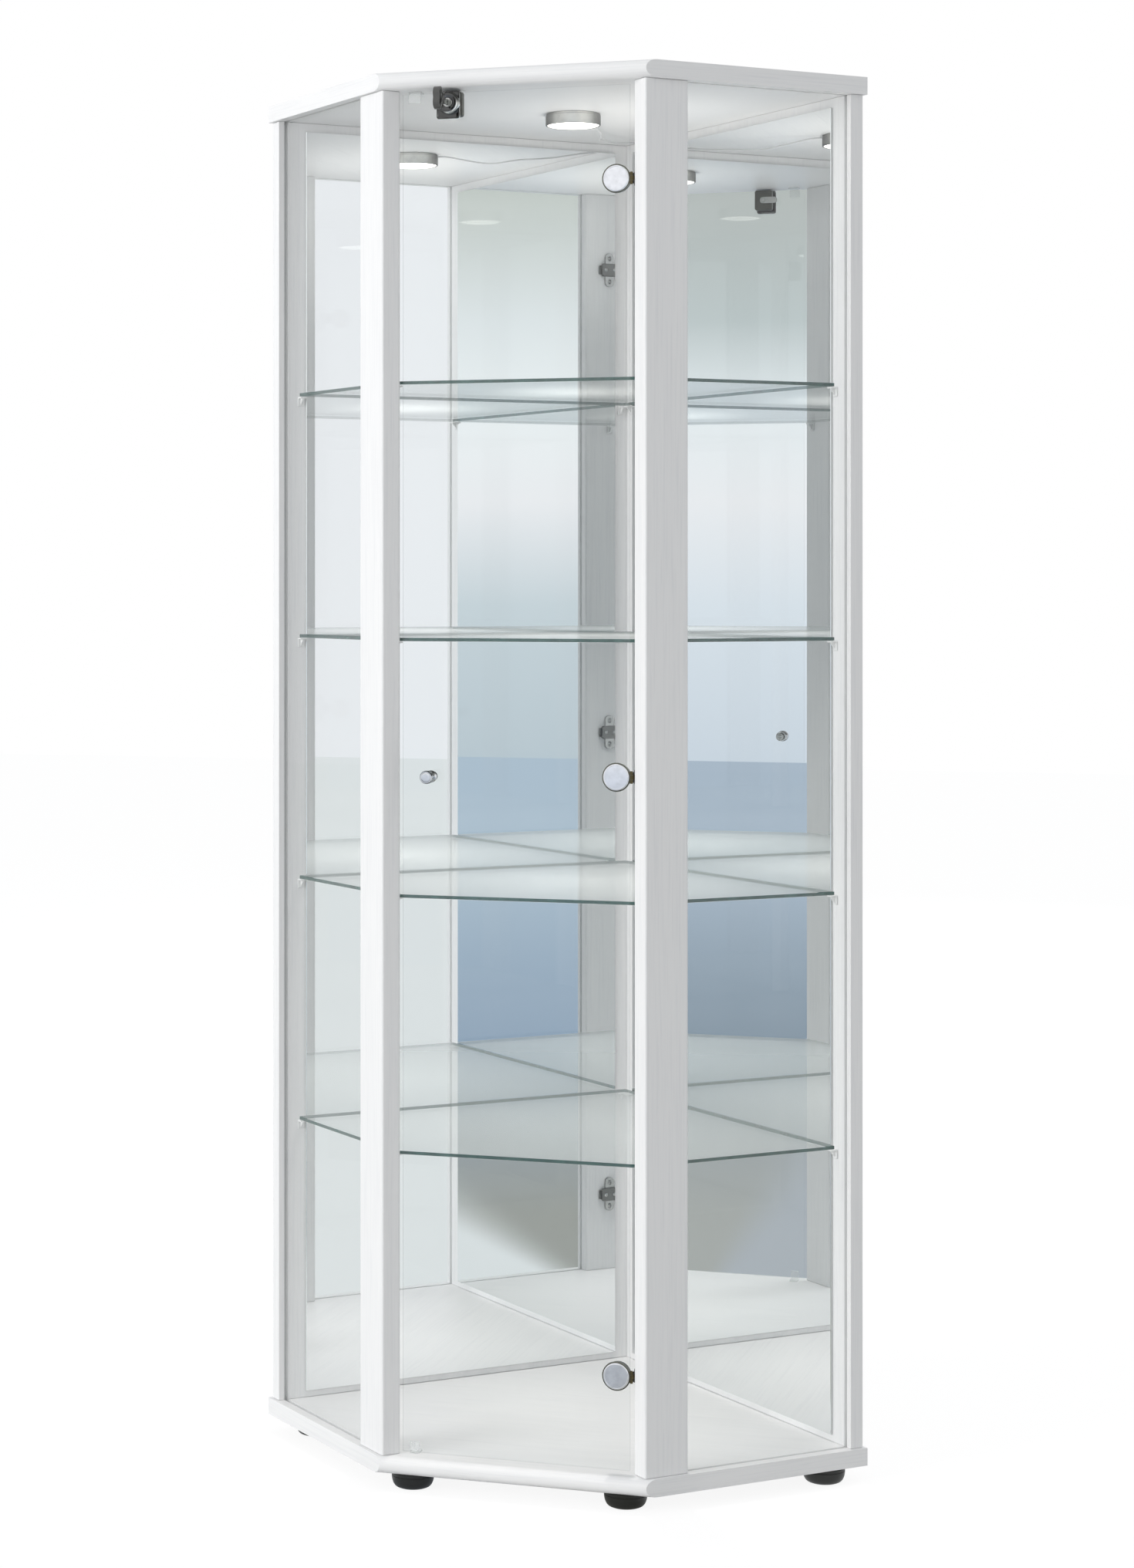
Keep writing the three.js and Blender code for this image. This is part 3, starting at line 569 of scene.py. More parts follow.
def frostedLight(name):
    finish = lensFinish
    material, tree, shader = newMaterial(name, finish["color"], finish["roughness"])
    frost = noise(tree, objectPattern(tree), *finish["frost"])
    glow = twoTones(tree, frost, *finish["glows"])
    fill(tree, shader, {"Emission Color": glow, "Emission Strength": finish["strength"]})
    return material


upright = whiteBoard("whiteBoardUpright", (1, 1, boardFinish["stretch"]))
levelBoard = whiteBoard("whiteBoardLevel", (boardFinish["stretch"], 1, 1))
boardEdge = whiteBoard("whiteBoardEdge", (boardFinish["stretch"], boardFinish["stretch"], 1))
shelfPane = paneGlass(
    "shelfGlass", (0, 0, 1), edgeShow=0.93, faceColor=(0.986, 0.997, 0.994),
    grazing=0.4, rearShow=0.35, haze=0.48,
)
leftPane = paneGlass("leftPaneGlass", (diagonal, diagonal, 0), edgeShow=0.25)
rightPane = paneGlass("rightPaneGlass", (diagonal, -diagonal, 0), edgeShow=0.25)
doorPane = paneGlass("doorGlass", (0, 1, 0), edgeShow=0.12)
leftMirror = mirrorGlass("leftMirrorGlass", (diagonal, -diagonal, 0))
rightMirror = mirrorGlass("rightMirrorGlass", (diagonal, diagonal, 0))
blackPlastic = mouldedPlastic("blackPlastic", (0.016, 0.016, 0.014), 0.36)
bowPlastic = mouldedPlastic("bowPlastic", (0.085, 0.085, 0.08), 0.4)
capMetal = metal("hingeCapMetal", (0.91, 0.92, 0.95), 0.16, metallic=0.92)
# the ring round each hinge cap is dark metal: a painted dark reflection at the cap's rim
rimPaintedReflection = metal("hingeRimPaintedReflection", (0.20, 0.20, 0.17), 0.22)
# hinge plate metal with painted reflection and shade, in bands by how far a face turns from the eye and
# whether it faces up, sideways or down
plateMetal = metal(
    "hingePlateMetal", (0.42, 0.42, 0.40), 0.2,
    tones=[(0.1, 0.6), (0.35, 0.4), (0.55, 1.0), (0.9, 0.3)],
    paintedLightAndShade=((0, 0, 1), [(0.15, 0.3), (0.45, 0.8), (0.6, 1.0), (0.85, 0.35)]),
)
# nickel with painted reflection and shade: darker as a face turns from the eye and where it faces up or
# down, a painted highlight on upright faces
nickel = metal(
    "nickel", (0.56, 0.56, 0.54), 0.2, tones=[(0.15, 1.0), (0.5, 0.55), (0.9, 0.25)],
    paintedLightAndShade=((0, 0, 1), [(0.1, 0.2), (0.4, 0.85), (0.55, 0.95), (0.7, 0.4)]),
)
darkBrass = metal("darkBrass", (0.15, 0.125, 0.07), 0.34)
# chrome with painted reflection and shade: darker as it turns from the eye, painted shade on top and
# underneath, a painted highlight on the upright sides
chrome = metal(
    "chrome", (0.84, 0.85, 0.86), 0.06, spread=0.03,
    tones=[(0.05, 1.0), (0.3, 0.75), (0.55, 0.9), (0.85, 0.35)],
    paintedLightAndShade=((0, 0, 1), [(0.05, 0.25), (0.3, 0.95), (0.55, 1.0), (0.68, 0.10), (0.95, 0.22)]),
)
zincAlloy = metal("zincAlloy", (0.10, 0.10, 0.085), 0.36)
milkyMoulded = clearPlastic("milkyPlastic", (0.94, 0.945, 0.94), 0.2, thin=0.78, dense=0.97)
clearMoulded = clearPlastic("clearPlastic", (0.86, 0.88, 0.88), 0.12, thin=0.22, dense=0.85)
# lock chrome with a painted highlight where it faces down, to the right and to the front, and painted
# shade where it turns from that way
lockChrome = metal(
    "lockChrome", (0.86, 0.86, 0.84), 0.08, spread=0.03,
    paintedLightAndShade=((0.62, -0.33, -0.71), [(0.10, 0.6), (0.30, 0.22), (0.66, 0.11), (0.76, 0.16), (0.86, 1.0)]),
)
# lamp housing with painted shade: it darkens as its side turns from the eye
lampBody = metal(
    "lampBody", (0.88, 0.87, 0.83), 0.3, tones=[(0.0, 1.0), (0.12, 0.9), (0.38, 0.42), (0.75, 0.12)],
)
lampGlow = frostedLight("lampGlow")
leadSheath = mouldedPlastic("leadSheath", (0.74, 0.74, 0.75), 0.45, relief=0.05)
print("materials made")


# boards
boardRadius = 0.0008
edgeRise = 0.3                   # the normal of a board's edge rises less than this
for nodeName, material in {
    "top_panel": levelBoard,
    "base_panel": levelBoard,
    "left_post": upright,
    "right_post": upright,
    "left_back_panel": upright,
    "right_back_panel": upright,
}.items():
    board = ease(mergedCopy(nodeName, nodeName + "_board"), boardRadius)
    wear(board, "cabinet", "white_board", material, nodeName)
    if material is levelBoard:
        board.data.materials.append(boardEdge)
        for face in board.data.polygons:
            if abs(face.normal.z) < edgeRise and face.normal.y > -squareOn:
                face.material_index = 1
print("boards eased")

# panes and mirrors with arrised edges
paneRadius = 0.0005
for nodeName, body, slotName, material in [
    *((f"shelf_{number}", "cabinet", "shelf_glass", shelfPane) for number in (1, 2, 3, 4)),
    ("left_side_glass", "cabinet", "clear_glass", leftPane),
    ("right_side_glass", "cabinet", "clear_glass", rightPane),
    ("door_glass", "door", "clear_glass", doorPane),
    ("left_mirror", "cabinet", "mirror_glass", leftMirror),
    ("right_mirror", "cabinet", "mirror_glass", rightMirror),
]:
    pane = ease(mergedCopy(nodeName, nodeName + "_pane"), paneRadius, steps=1)
    wear(pane, body, slotName, material, nodeName)
print("glass eased")


screwShape = {
    "dome": [(1, 0), (1, 0.35), (0.86, 0.75), (0.6, 0.95), (0.25, 1)],     # in radii and heights
    "crossReach": 0.55,           # from the middle, in radii
    "crossHalf": 0.13,            # half the width of the cross, in radii
    "crossFloor": 0.35,           # in heights
    "cutStart": 2,                # clear above the dome, in heights
}
rearwards = 180                  # turns a screw to face the back


# a screw with a domed head and a cross recess; it faces the front until it is turned
def crossScrew(name, centre, radius, height):
    dome = [(share * radius, rise * height) for share, rise in screwShape["dome"]]
    screw = turned(name, centre, "front", dome, roundSides["screw"])
    reach, half = screwShape["crossReach"] * radius, screwShape["crossHalf"] * radius
    start, floor = -screwShape["cutStart"] * height, -screwShape["crossFloor"] * height
    for wide, tall in ((reach, half), (half, reach)):
        low, high = Vector((-wide, start, -tall)), Vector((wide, floor, tall))
        carve(screw, blockBetween(name + "_bar", centre + low, centre + high))
    return screw


hinge = {
    "capInset": 0.0161,           # from the door's hinge edge
    # a ring round the cap, which carries the painted dark reflection
    "rim": [
        (0.0172, 0.0003), (0.01775, 0.0007), (0.01775, 0.0024), (0.0174, 0.0028), (0.0168, 0.0029),
        (0.0163, 0.0025),
    ],
    "cap": [
        (0.0152, 0.0022), (0.0163, 0.0026), (0.0163, 0.0030), (0.0160, 0.0036), (0.0154, 0.0040),
        (0.0147, 0.0040), (0.0143, 0.0037), (0.0100, 0.0038), (0.0040, 0.0039),
    ],
    "clamp": [
        (0.0108, -0.0097), (0.0108, -0.0113), (0.0146, -0.0113), (0.0160, -0.0099), (0.0160, -0.0053),
        (0.0127, -0.0053), (0.0127, 0.0003),
    ],
    "clampScrew": (0.0042, 0.0014),
    "leafLength": 0.008,
    "leafHalf": 0.0012,
    "knuckle": 0.002,
    "knuckleStart": 0.003,
    "knuckleEnd": 0.007,
    "knuckleGap": 0.0003,
    "pinRadius": 0.0009,
    "pinHead": (0.0017, 0.0007),
    "pinHeadShares": (0.7, 0.6),  # the flat of the head in radii, and its side in heights
}
plate = {
    "wall": 0.001,                # the post's face, from the pivot
    "centre": -0.0222,            # middle of the cross plate, rearwards from the pivot
    "halfWidth": 0.008,
    "halfHeight": 0.026,
    "cornerRadius": 0.0066,
    "slot": (0.0021, 0.0042),     # half width and half height
    "slotCorner": 0.002079,
    "slotPlace": 0.0182,
    "slotFloor": -0.0002,
    "screw": (0.0034, 0.0019),    # radius and height, as of every screw here
    "arm": (-0.0412, -0.0027),
    "armDepth": (-0.00125, 0.0008),
    "armHalf": 0.007,
    "armCorner": 0.002,
    "boss": (-0.0377, -0.0067),
    "bossHalf": 0.010,
    "bossFront": -0.0050,
    "bossCorner": 0.003,
    "bossRadius": 0.0009,
    "tongueHalf": 0.0009,
    "bossScrews": (-0.0305, -0.0150),
    "bossScrew": (0.0036, 0.0011),
    "turn": 225,                  # from facing the front to facing in from the right post
}
doorLow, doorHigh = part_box("door_glass")
pivot = Vector(next(j["pos_m"] for j in frame["joints"] if j["name"] == "door_hinge"))


def movingHinge(name):
    node = "hinge_cup_" + name
    height = nodeMiddle(node).z
    centre = Vector((doorHigh.x - hinge["capInset"], doorLow.y, height))
    # the dark rim is a painted reflection round the cap's edge
    rim = ease(turned(node + "_rim", centre, "front", hinge["rim"], roundSides["large"]))
    wear(rim, "door", "hinge_cap_metal", rimPaintedReflection, node)
    cap = ease(turned(node + "_cap", centre, "front", hinge["cap"], roundSides["large"]))
    wear(cap, "door", "hinge_cap_metal", capMetal, node)
    clamp = turned(node + "_clamp", centre, "front", hinge["clamp"], roundSides["large"])
    ease(clamp, edgeRadius["small"])
    screw = crossScrew(node + "_screw", Vector(), *hinge["clampScrew"])
    turnAndPlace(screw, rearwards, centre - Vector((0, hinge["clamp"][0][1], 0)))
    joinInto(clamp, ease(screw))
    wear(clamp, "door", "hinge_cap_metal", nickel, node)
    leaves = []
    for low, high in [
        (hinge["knuckleStart"], hinge["knuckleEnd"]),
        (-hinge["knuckleEnd"], -hinge["knuckleStart"]),
    ]:
        leaf = blockBetween(
            node + "_leaf",
            (pivot.x - hinge["leafLength"], pivot.y - hinge["leafHalf"], height + low),
            (pivot.x, pivot.y + hinge["leafHalf"], height + high),
        )
        leaves.append(ease(leaf, edgeRadius["fine"]))
        base = Vector((pivot.x, pivot.y, height))
        profile = [(hinge["knuckle"], low), (hinge["knuckle"], high)]
        knuckle = turned(node + "_knuckle", base, "up", profile, roundSides["pin"])
        leaves.append(ease(knuckle, edgeRadius["fine"]))
    joinInto(*leaves)
    leaves[0].name = node + "_leaves"
    wear(leaves[0], "door", "hinge_arm_brass", darkBrass, node)


# built round the pivot, facing the front, then turned onto the post's inner face
def fixedHinge(name):
    node = "hinge_plate_" + name
    place = Vector((pivot.x, pivot.y, nodeMiddle(node).z))
    wall, half = plate["wall"], plate["armHalf"]
    cross = blockBetween(
        node + "_cross",
        (plate["centre"] - plate["halfWidth"], -wall, -plate["halfHeight"]),
        (plate["centre"] + plate["halfWidth"], wall, plate["halfHeight"]),
    )
    roundCorners(cross, "y", plate["cornerRadius"])
    slotWidth, slotHeight = plate["slot"]
    screws = []
    for side in (-1, 1):
        middle = side * plate["slotPlace"]
        slot = blockBetween(
            node + "_slot",
            (plate["centre"] - slotWidth, -2 * wall, middle - slotHeight),
            (plate["centre"] + slotWidth, plate["slotFloor"], middle + slotHeight),
        )
        carve(cross, roundCorners(slot, "y", plate["slotCorner"]))
        seat = Vector((plate["centre"], plate["slotFloor"], middle))
        screws.append(ease(crossScrew(node + "_screw", seat, *plate["screw"])))
    for x in plate["bossScrews"]:
        seat = Vector((x, plate["bossFront"], 0))
        screws.append(ease(crossScrew(node + "_adjuster", seat, *plate["bossScrew"])))
    joinInto(ease(cross, edgeRadius["soft"]), *screws)
    turnAndPlace(cross, plate["turn"], place)
    wear(cross, "cabinet", "hinge_arm_brass", nickel, node)

    rear, front = plate["arm"]
    outer, inner = plate["armDepth"]
    arm = blockBetween(node + "_arm", (rear, outer, -half), (front, inner, half))
    ease(roundCorners(arm, "y", plate["armCorner"]), edgeRadius["small"])
    rear, front = plate["boss"]
    tall = plate["bossHalf"]
    boss = blockBetween(node + "_boss", (rear, plate["bossFront"], -tall), (front, -wall, tall))
    ease(roundCorners(boss, "y", plate["bossCorner"]), plate["bossRadius"], steps=roundSteps)
    joinInto(arm, boss)
    turnAndPlace(arm, plate["turn"], place)
    wear(arm, "cabinet", "hinge_arm_brass", plateMetal, node)

    low, thick = hinge["knuckleStart"] - hinge["knuckleGap"], plate["tongueHalf"]
    tongue = blockBetween(node + "_tongue", (plate["centre"], -thick, -low), (0, thick, low))
    ease(tongue, edgeRadius["fine"])
    profile = [(hinge["knuckle"], -low), (hinge["knuckle"], low)]
    eye = ease(turned(node + "_eye", Vector(), "up", profile, roundSides["pin"]), edgeRadius["fine"])
    radius, rise = hinge["pinHead"]
    flat, side = hinge["pinHeadShares"]
    end, flat, shoulder = hinge["knuckleEnd"], flat * radius, hinge["knuckleEnd"] + side * rise
    upperHalf = [(hinge["pinRadius"], end), (radius, end), (radius, shoulder), (flat, end + rise)]
    lowerHalf = [(reach, -distance) for reach, distance in reversed(upperHalf)]
    pin = ease(turned(node + "_pin", Vector(), "up", lowerHalf + upperHalf, roundSides["pin"]))
    joinInto(tongue, eye, pin)
    turnAndPlace(tongue, plate["turn"], place)
    wear(tongue, "cabinet", "hinge_arm_brass", darkBrass, node)


for name in ("bottom", "middle", "top"):
    movingHinge(name)
    fixedHinge(name)
print("hinges made")


knob = {
    "profile": [
        (0.0066, 0.0003), (0.0075, 0.0008), (0.0075, 0.0018), (0.0068, 0.0024), (0.0050, 0.0032),
        (0.0043, 0.0048), (0.0041, 0.0068), (0.0043, 0.0086), (0.0052, 0.0106), (0.0068, 0.0122),
        (0.0079, 0.0138), (0.0082, 0.0154), (0.0082, 0.0216), (0.0079, 0.0231), (0.0071, 0.0240),
        (0.0062, 0.0240), (0.0057, 0.0236), (0.0030, 0.0238),
    ],
    "washer": [
        (0.0030, -0.0076), (0.0050, -0.0079), (0.0060, -0.0072), (0.0060, -0.0053), (0.0025, -0.0053),
        (0.0025, 0.0003),
    ],
    "screw": (0.0032, 0.0013),
}


def makeKnob():
    middle = nodeMiddle("door_knob")
    centre = Vector((middle.x, doorLow.y, middle.z))
    head = ease(turned("door_knob_head", centre, "front", knob["profile"], roundSides["medium"]))
    washer = ease(turned("door_knob_washer", centre, "front", knob["washer"], roundSides["small"]))
    screw = ease(crossScrew("door_knob_screw", Vector(), *knob["screw"]))
    turnAndPlace(screw, rearwards, centre - Vector((0, knob["washer"][0][1], 0)))
    joinInto(washer, screw)
    wear(head, "door", "chrome", chrome, "door_knob")
    wear(washer, "door", "chrome", nickel, "door_knob")


makeKnob()
print("knob made")


lock = {
    "plateFront": 0.0027,         # in front of the glass
    "plateBack": 0.0003,
    "plateCorner": 0.0035,
    "plateBorder": 0.0012,
    "plateRecess": (0.0004, 0.0005),      # width of its slope and depth
    "bossSunk": 0.0004,
    "boss": [
        (0.0140, 0.0), (0.0140, 0.0058), (0.0136, 0.0065), (0.0130, 0.0067), (0.0128, 0.0075),
        (0.0120, 0.0086), (0.0110, 0.0090), (0.0088, 0.0090), (0.0080, 0.0085), (0.0066, 0.0083),
        (0.0066, 0.0040),
    ],
    "neckHalf": 0.0098,
    "neckDrop": 0.0268,
    "plateTrim": 0.003,           # how much narrower than the CAD plate, at its right
    "overlap": 0.001,             # of neck and saddle with the plate and the rear block
    "glassGap": 0.0003,
    "neckTop": 0.0002,            # neck and saddle lie this far inside the housing's outline
    "saddleSide": 0.0002,
    "saddleTop": 0.0001,
    "rearHalf": 0.0135,
    "rearTall": 0.031,
    "rearCorner": 0.003,
    "rearRadius": 0.0008,
    "plug": [
        (0.0030, -0.0316), (0.0030, -0.0286), (0.0060, -0.0286), (0.0060, -0.0005), (0.0055, 0.0),
    ],
    "keyway": (0.0013, 0.0020, 0.0038),   # half its width, its depth and half its height
}
keySizes = {
    "bowDepth": 0.024,
    "border": 0.0032,
    "recess": 0.0011,
    "recessSlope": 0.0006,
    "round": 0.0012,
    "bladeHalf": 0.0009,
    "bladeHeight": 0.0034,
    "grooveHeight": 0.0009,
    "grooveDepth": 0.0004,
    "collarHalf": 0.0031,
    "collarHeight": 0.0052,
    "collarLength": 0.0045,
    "collarOverlap": 0.001,
    "bowSeam": 0.0002,            # the bow ends this far short of the blade
    "overrun": 0.01,              # of a groove's cut, past both ends
}


def makeLock():
    low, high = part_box("lock_housing")
    axis = nodeMiddle("lock_plug")
    front, back = doorLow.y - lock["plateFront"], doorLow.y - lock["plateBack"]
    right = high.x - lock["plateTrim"]
    shield = blockBetween("lock_housing_plate", (low.x, front, low.z), (right, back, high.z))
    roundCorners(shield, "y", lock["plateCorner"])
    selectFaces(shield, lambda face: face.normal.y < -squareOn)
    slope, depth = lock["plateRecess"]
    bpy.ops.mesh.inset(thickness=lock["plateBorder"], depth=0.0)
    bpy.ops.mesh.inset(thickness=slope, depth=-depth)
    objectMode()
    ease(shield, edgeRadius["small"])
    seat = Vector((axis.x, front + lock["bossSunk"], axis.z))
    boss = ease(turned("lock_housing_boss", seat, "front", lock["boss"], roundSides["medium"]))
    inPlate, inBlock = back - lock["overlap"], doorHigh.y + lock["overlap"]
    neck = blockBetween(
        "lock_housing_neck",
        (axis.x - lock["neckHalf"], inPlate, high.z - lock["neckDrop"]),
        (axis.x + lock["neckHalf"], inBlock, high.z - lock["neckTop"]),
    )
    saddle = blockBetween(
        "lock_housing_saddle",
        (low.x + lock["saddleSide"], inPlate, doorHigh.z + lock["glassGap"]),
        (right - lock["saddleSide"], inBlock, high.z - lock["saddleTop"]),
    )
    rear = blockBetween(
        "lock_housing_rear",
        (axis.x - lock["rearHalf"], doorHigh.y + lock["glassGap"], high.z - lock["rearTall"]),
        (axis.x + lock["rearHalf"], high.y, high.z),
    )
    ease(roundCorners(rear, "y", lock["rearCorner"]), lock["rearRadius"], steps=roundSteps)
    joinInto(shield, boss, ease(neck, edgeRadius["fine"]), ease(saddle, edgeRadius["fine"]))
    wear(shield, "door", "chrome", lockChrome, "lock_housing")
    wear(rear, "door", "chrome", zincAlloy, "lock_housing")

    face = Vector((axis.x, low.y, axis.z))
    plug = turned("lock_plug_barrel", face, "front", lock["plug"], roundSides["small"])
    reach = Vector(lock["keyway"])
    ease(carve(plug, blockBetween("lock_keyway", face - reach, face + reach)))
    wear(plug, "lock_rotor", "chrome", nickel, "lock_plug")
    cam = ease(mergedCopy("lock_cam", "lock_cam_plate"), edgeRadius["small"])
    wear(cam, "lock_rotor", "chrome", nickel, "lock_cam")


def makeKey():
    low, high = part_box("lock_key")
    axis = nodeMiddle("lock_plug")
    neck = low.y + keySizes["bowDepth"]
    bow = mergedCopy("lock_key", "lock_key_bow")
    editMode(bow)
    bpy.ops.mesh.bisect(
        plane_co=(0, neck - keySizes["bowSeam"], 0), plane_no=(0, 1, 0),
        use_fill=True, clear_outer=True, threshold=sameSpot,
    )
    objectMode()
    selectFaces(bow, lambda face: abs(face.normal.x) > squareOn)
    bpy.ops.mesh.inset(thickness=keySizes["border"], depth=0.0, use_individual=True)
    bpy.ops.mesh.inset(thickness=keySizes["recessSlope"], depth=-keySizes["recess"], use_individual=True)
    objectMode()
    ease(bow, keySizes["round"] / 2, steps=roundSteps)
    half, tall = keySizes["collarHalf"], keySizes["collarHeight"]
    collar = blockBetween(
        "lock_key_collar",
        (axis.x - half, neck - keySizes["collarOverlap"], axis.z - tall),
        (axis.x + half, neck + keySizes["collarLength"], axis.z + tall),
    )
    joinInto(bow, ease(collar, keySizes["round"], steps=roundSteps))
    wear(bow, "lock_rotor", "black_plastic", bowPlastic, "lock_key")
    half, tall = keySizes["bladeHalf"], keySizes["bladeHeight"]
    blade = blockBetween(
        "lock_key_blade", (axis.x - half, neck, axis.z - tall), (axis.x + half, high.y, axis.z + tall),
    )
    deep, tall, overrun = keySizes["grooveDepth"], keySizes["grooveHeight"], keySizes["overrun"]
    for edge in (axis.x - half, axis.x + half):
        groove = blockBetween(
            "lock_key_groove",
            (edge - deep, neck - overrun, axis.z - tall), (edge + deep, high.y + overrun, axis.z + tall),
        )
        carve(blade, groove)
    ease(blade, edgeRadius["hair"])
    wear(blade, "lock_rotor", "chrome", chrome, "lock_key")


makeLock()
makeKey()
print("lock and key made")


foot = {
    "baseRadius": 0.019,
    "topRadius": 0.0265,
    "bowlLow": 0.0006,
    "bowlHigh": 0.0147,
    "steps": 14,
    "start": [(0.0162, 0.0007), (0.0162, 0.0), (0.0182, 0.0)],
    "shoulder": [
        (0.0260, 0.0150), (0.0260, 0.0156), (0.0265, 0.0160), (0.0265, 0.0190), (0.0259, 0.0197),
    ],
}


def makeFoot(node):
    middle = nodeMiddle(node)
    spread, rise = foot["topRadius"] - foot["baseRadius"], foot["bowlHigh"] - foot["bowlLow"]
    quarterTurn = [math.pi / 2 * i / foot["steps"] for i in range(foot["steps"] + 1)]
    bowl = [
        (foot["baseRadius"] + spread * math.sin(angle), foot["bowlLow"] + rise * (1 - math.cos(angle)))
        for angle in quarterTurn
    ]
    profile = foot["start"] + bowl + foot["shoulder"]
    centre = Vector((middle.x, middle.y, cadLow.z))
    bowlFoot = ease(turned(node + "_bowl", centre, "up", profile, roundSides["large"]))
    wear(bowlFoot, "cabinet", "black_plastic", blackPlastic, node)


for nodeName in list(frame["nodes"]):
    if nodeName.startswith("foot_"):
        makeFoot(nodeName)
print("feet made")


lamp = {
    "body": [
        (0.0338, 0.0030), (0.0338, 0.0002), (0.0341, 0.0), (0.0350, 0.0), (0.0357, 0.0004),
        (0.0360, 0.0012), (0.0360, 0.0126), (0.0354, 0.0130), (0.0354, 0.0150),
    ],
    "lens": [
        (0.0040, -0.0020), (0.0120, -0.0018), (0.0200, -0.0013), (0.0265, -0.0008), (0.0310, -0.0002),
        (0.0330, 0.0004), (0.0335, 0.0010), (0.0335, 0.0027),
    ],
    "leadRadius": 0.0011,
    "leadRound": 3,               # how round it is, and how smooth along its line
    "leadSmooth": 10,
    "boardGap": 0.0003,           # between the housing and the top board
}
# the lead hangs in one low bow from the lamp to the right back panel: u, v and drop below the top board
leadRoute = [
    (0.2140, 0.2302, 0.0030), (0.2095, 0.2268, 0.0030), (0.2015, 0.2210, 0.0040),
    (0.1890, 0.2120, 0.0070), (0.1740, 0.2010, 0.0110), (0.1610, 0.1850, 0.0145),
    (0.1525, 0.1690, 0.0157), (0.1435, 0.1530, 0.0146), (0.1310, 0.1390, 0.0130),
    (0.1165, 0.1270, 0.0125), (0.1030, 0.1170, 0.0120), (0.0880, 0.1060, 0.0105),
    (0.0720, 0.0940, 0.0080), (0.0560, 0.0840, 0.0055), (0.0420, 0.0780, 0.0042),
    (0.0330, 0.0760, 0.0040), (0.0240, 0.0760, 0.0040), (0.0120, 0.0760, 0.0040),
]


def makeLamp():
    middle = nodeMiddle("lamp_housing")
    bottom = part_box("lamp_housing")[0].z
    centre = Vector((middle.x, middle.y, bottom))
    body = ease(turned("lamp_housing_body", centre, "up", lamp["body"], roundSides["lamp"]))
    wear(body, "cabinet", "lamp_grey", lampBody, "lamp_housing")
    lens = ease(turned("lamp_lens_dome", centre, "up", lamp["lens"], roundSides["lamp"]))
    wear(lens, "cabinet", "lamp_light", lampGlow, "lamp_lens")


def makeLead():
    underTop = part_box("lamp_housing")[1].z + lamp["boardGap"]
    curve = bpy.data.curves.new("lamp_lead_line", "CURVE")
    curve.dimensions = "3D"
    curve.bevel_depth = lamp["leadRadius"]
    curve.bevel_resolution = lamp["leadRound"]
    curve.resolution_u = lamp["leadSmooth"]
    curve.use_fill_caps = True
    line = curve.splines.new("BEZIER")
    line.bezier_points.add(len(leadRoute) - 1)
    for point, (u, v, drop) in zip(line.bezier_points, leadRoute):
        point.co = wallPoint(u, v, underTop - drop)
        point.handle_left_type = point.handle_right_type = "AUTO"
    lead = bpy.data.objects.new("lamp_lead_sheath", curve)
    bpy.context.scene.collection.objects.link(lead)
    pick(lead)
    bpy.ops.object.convert(target="MESH")
    wear(ease(bpy.context.object), "cabinet", "lead_grey", leadSheath, "lamp_lead")


makeLamp()
makeLead()
print("lamp made")


# shelf supports and door stops of clear plastic
for nodeName in list(frame["nodes"]):
    if nodeName.startswith("shelf_support_"):
        support = ease(mergedCopy(nodeName, nodeName + "_bracket"), edgeRadius["soft"])
        wear(support, "cabinet", "clear_plastic", milkyMoulded, nodeName)
    if nodeName.startswith("door_stop_"):
        stop = ease(mergedCopy(nodeName, nodeName + "_angle"), edgeRadius["soft"])
        wear(stop, "cabinet", "clear_plastic", clearMoulded, nodeName)
print("supports and stops made")


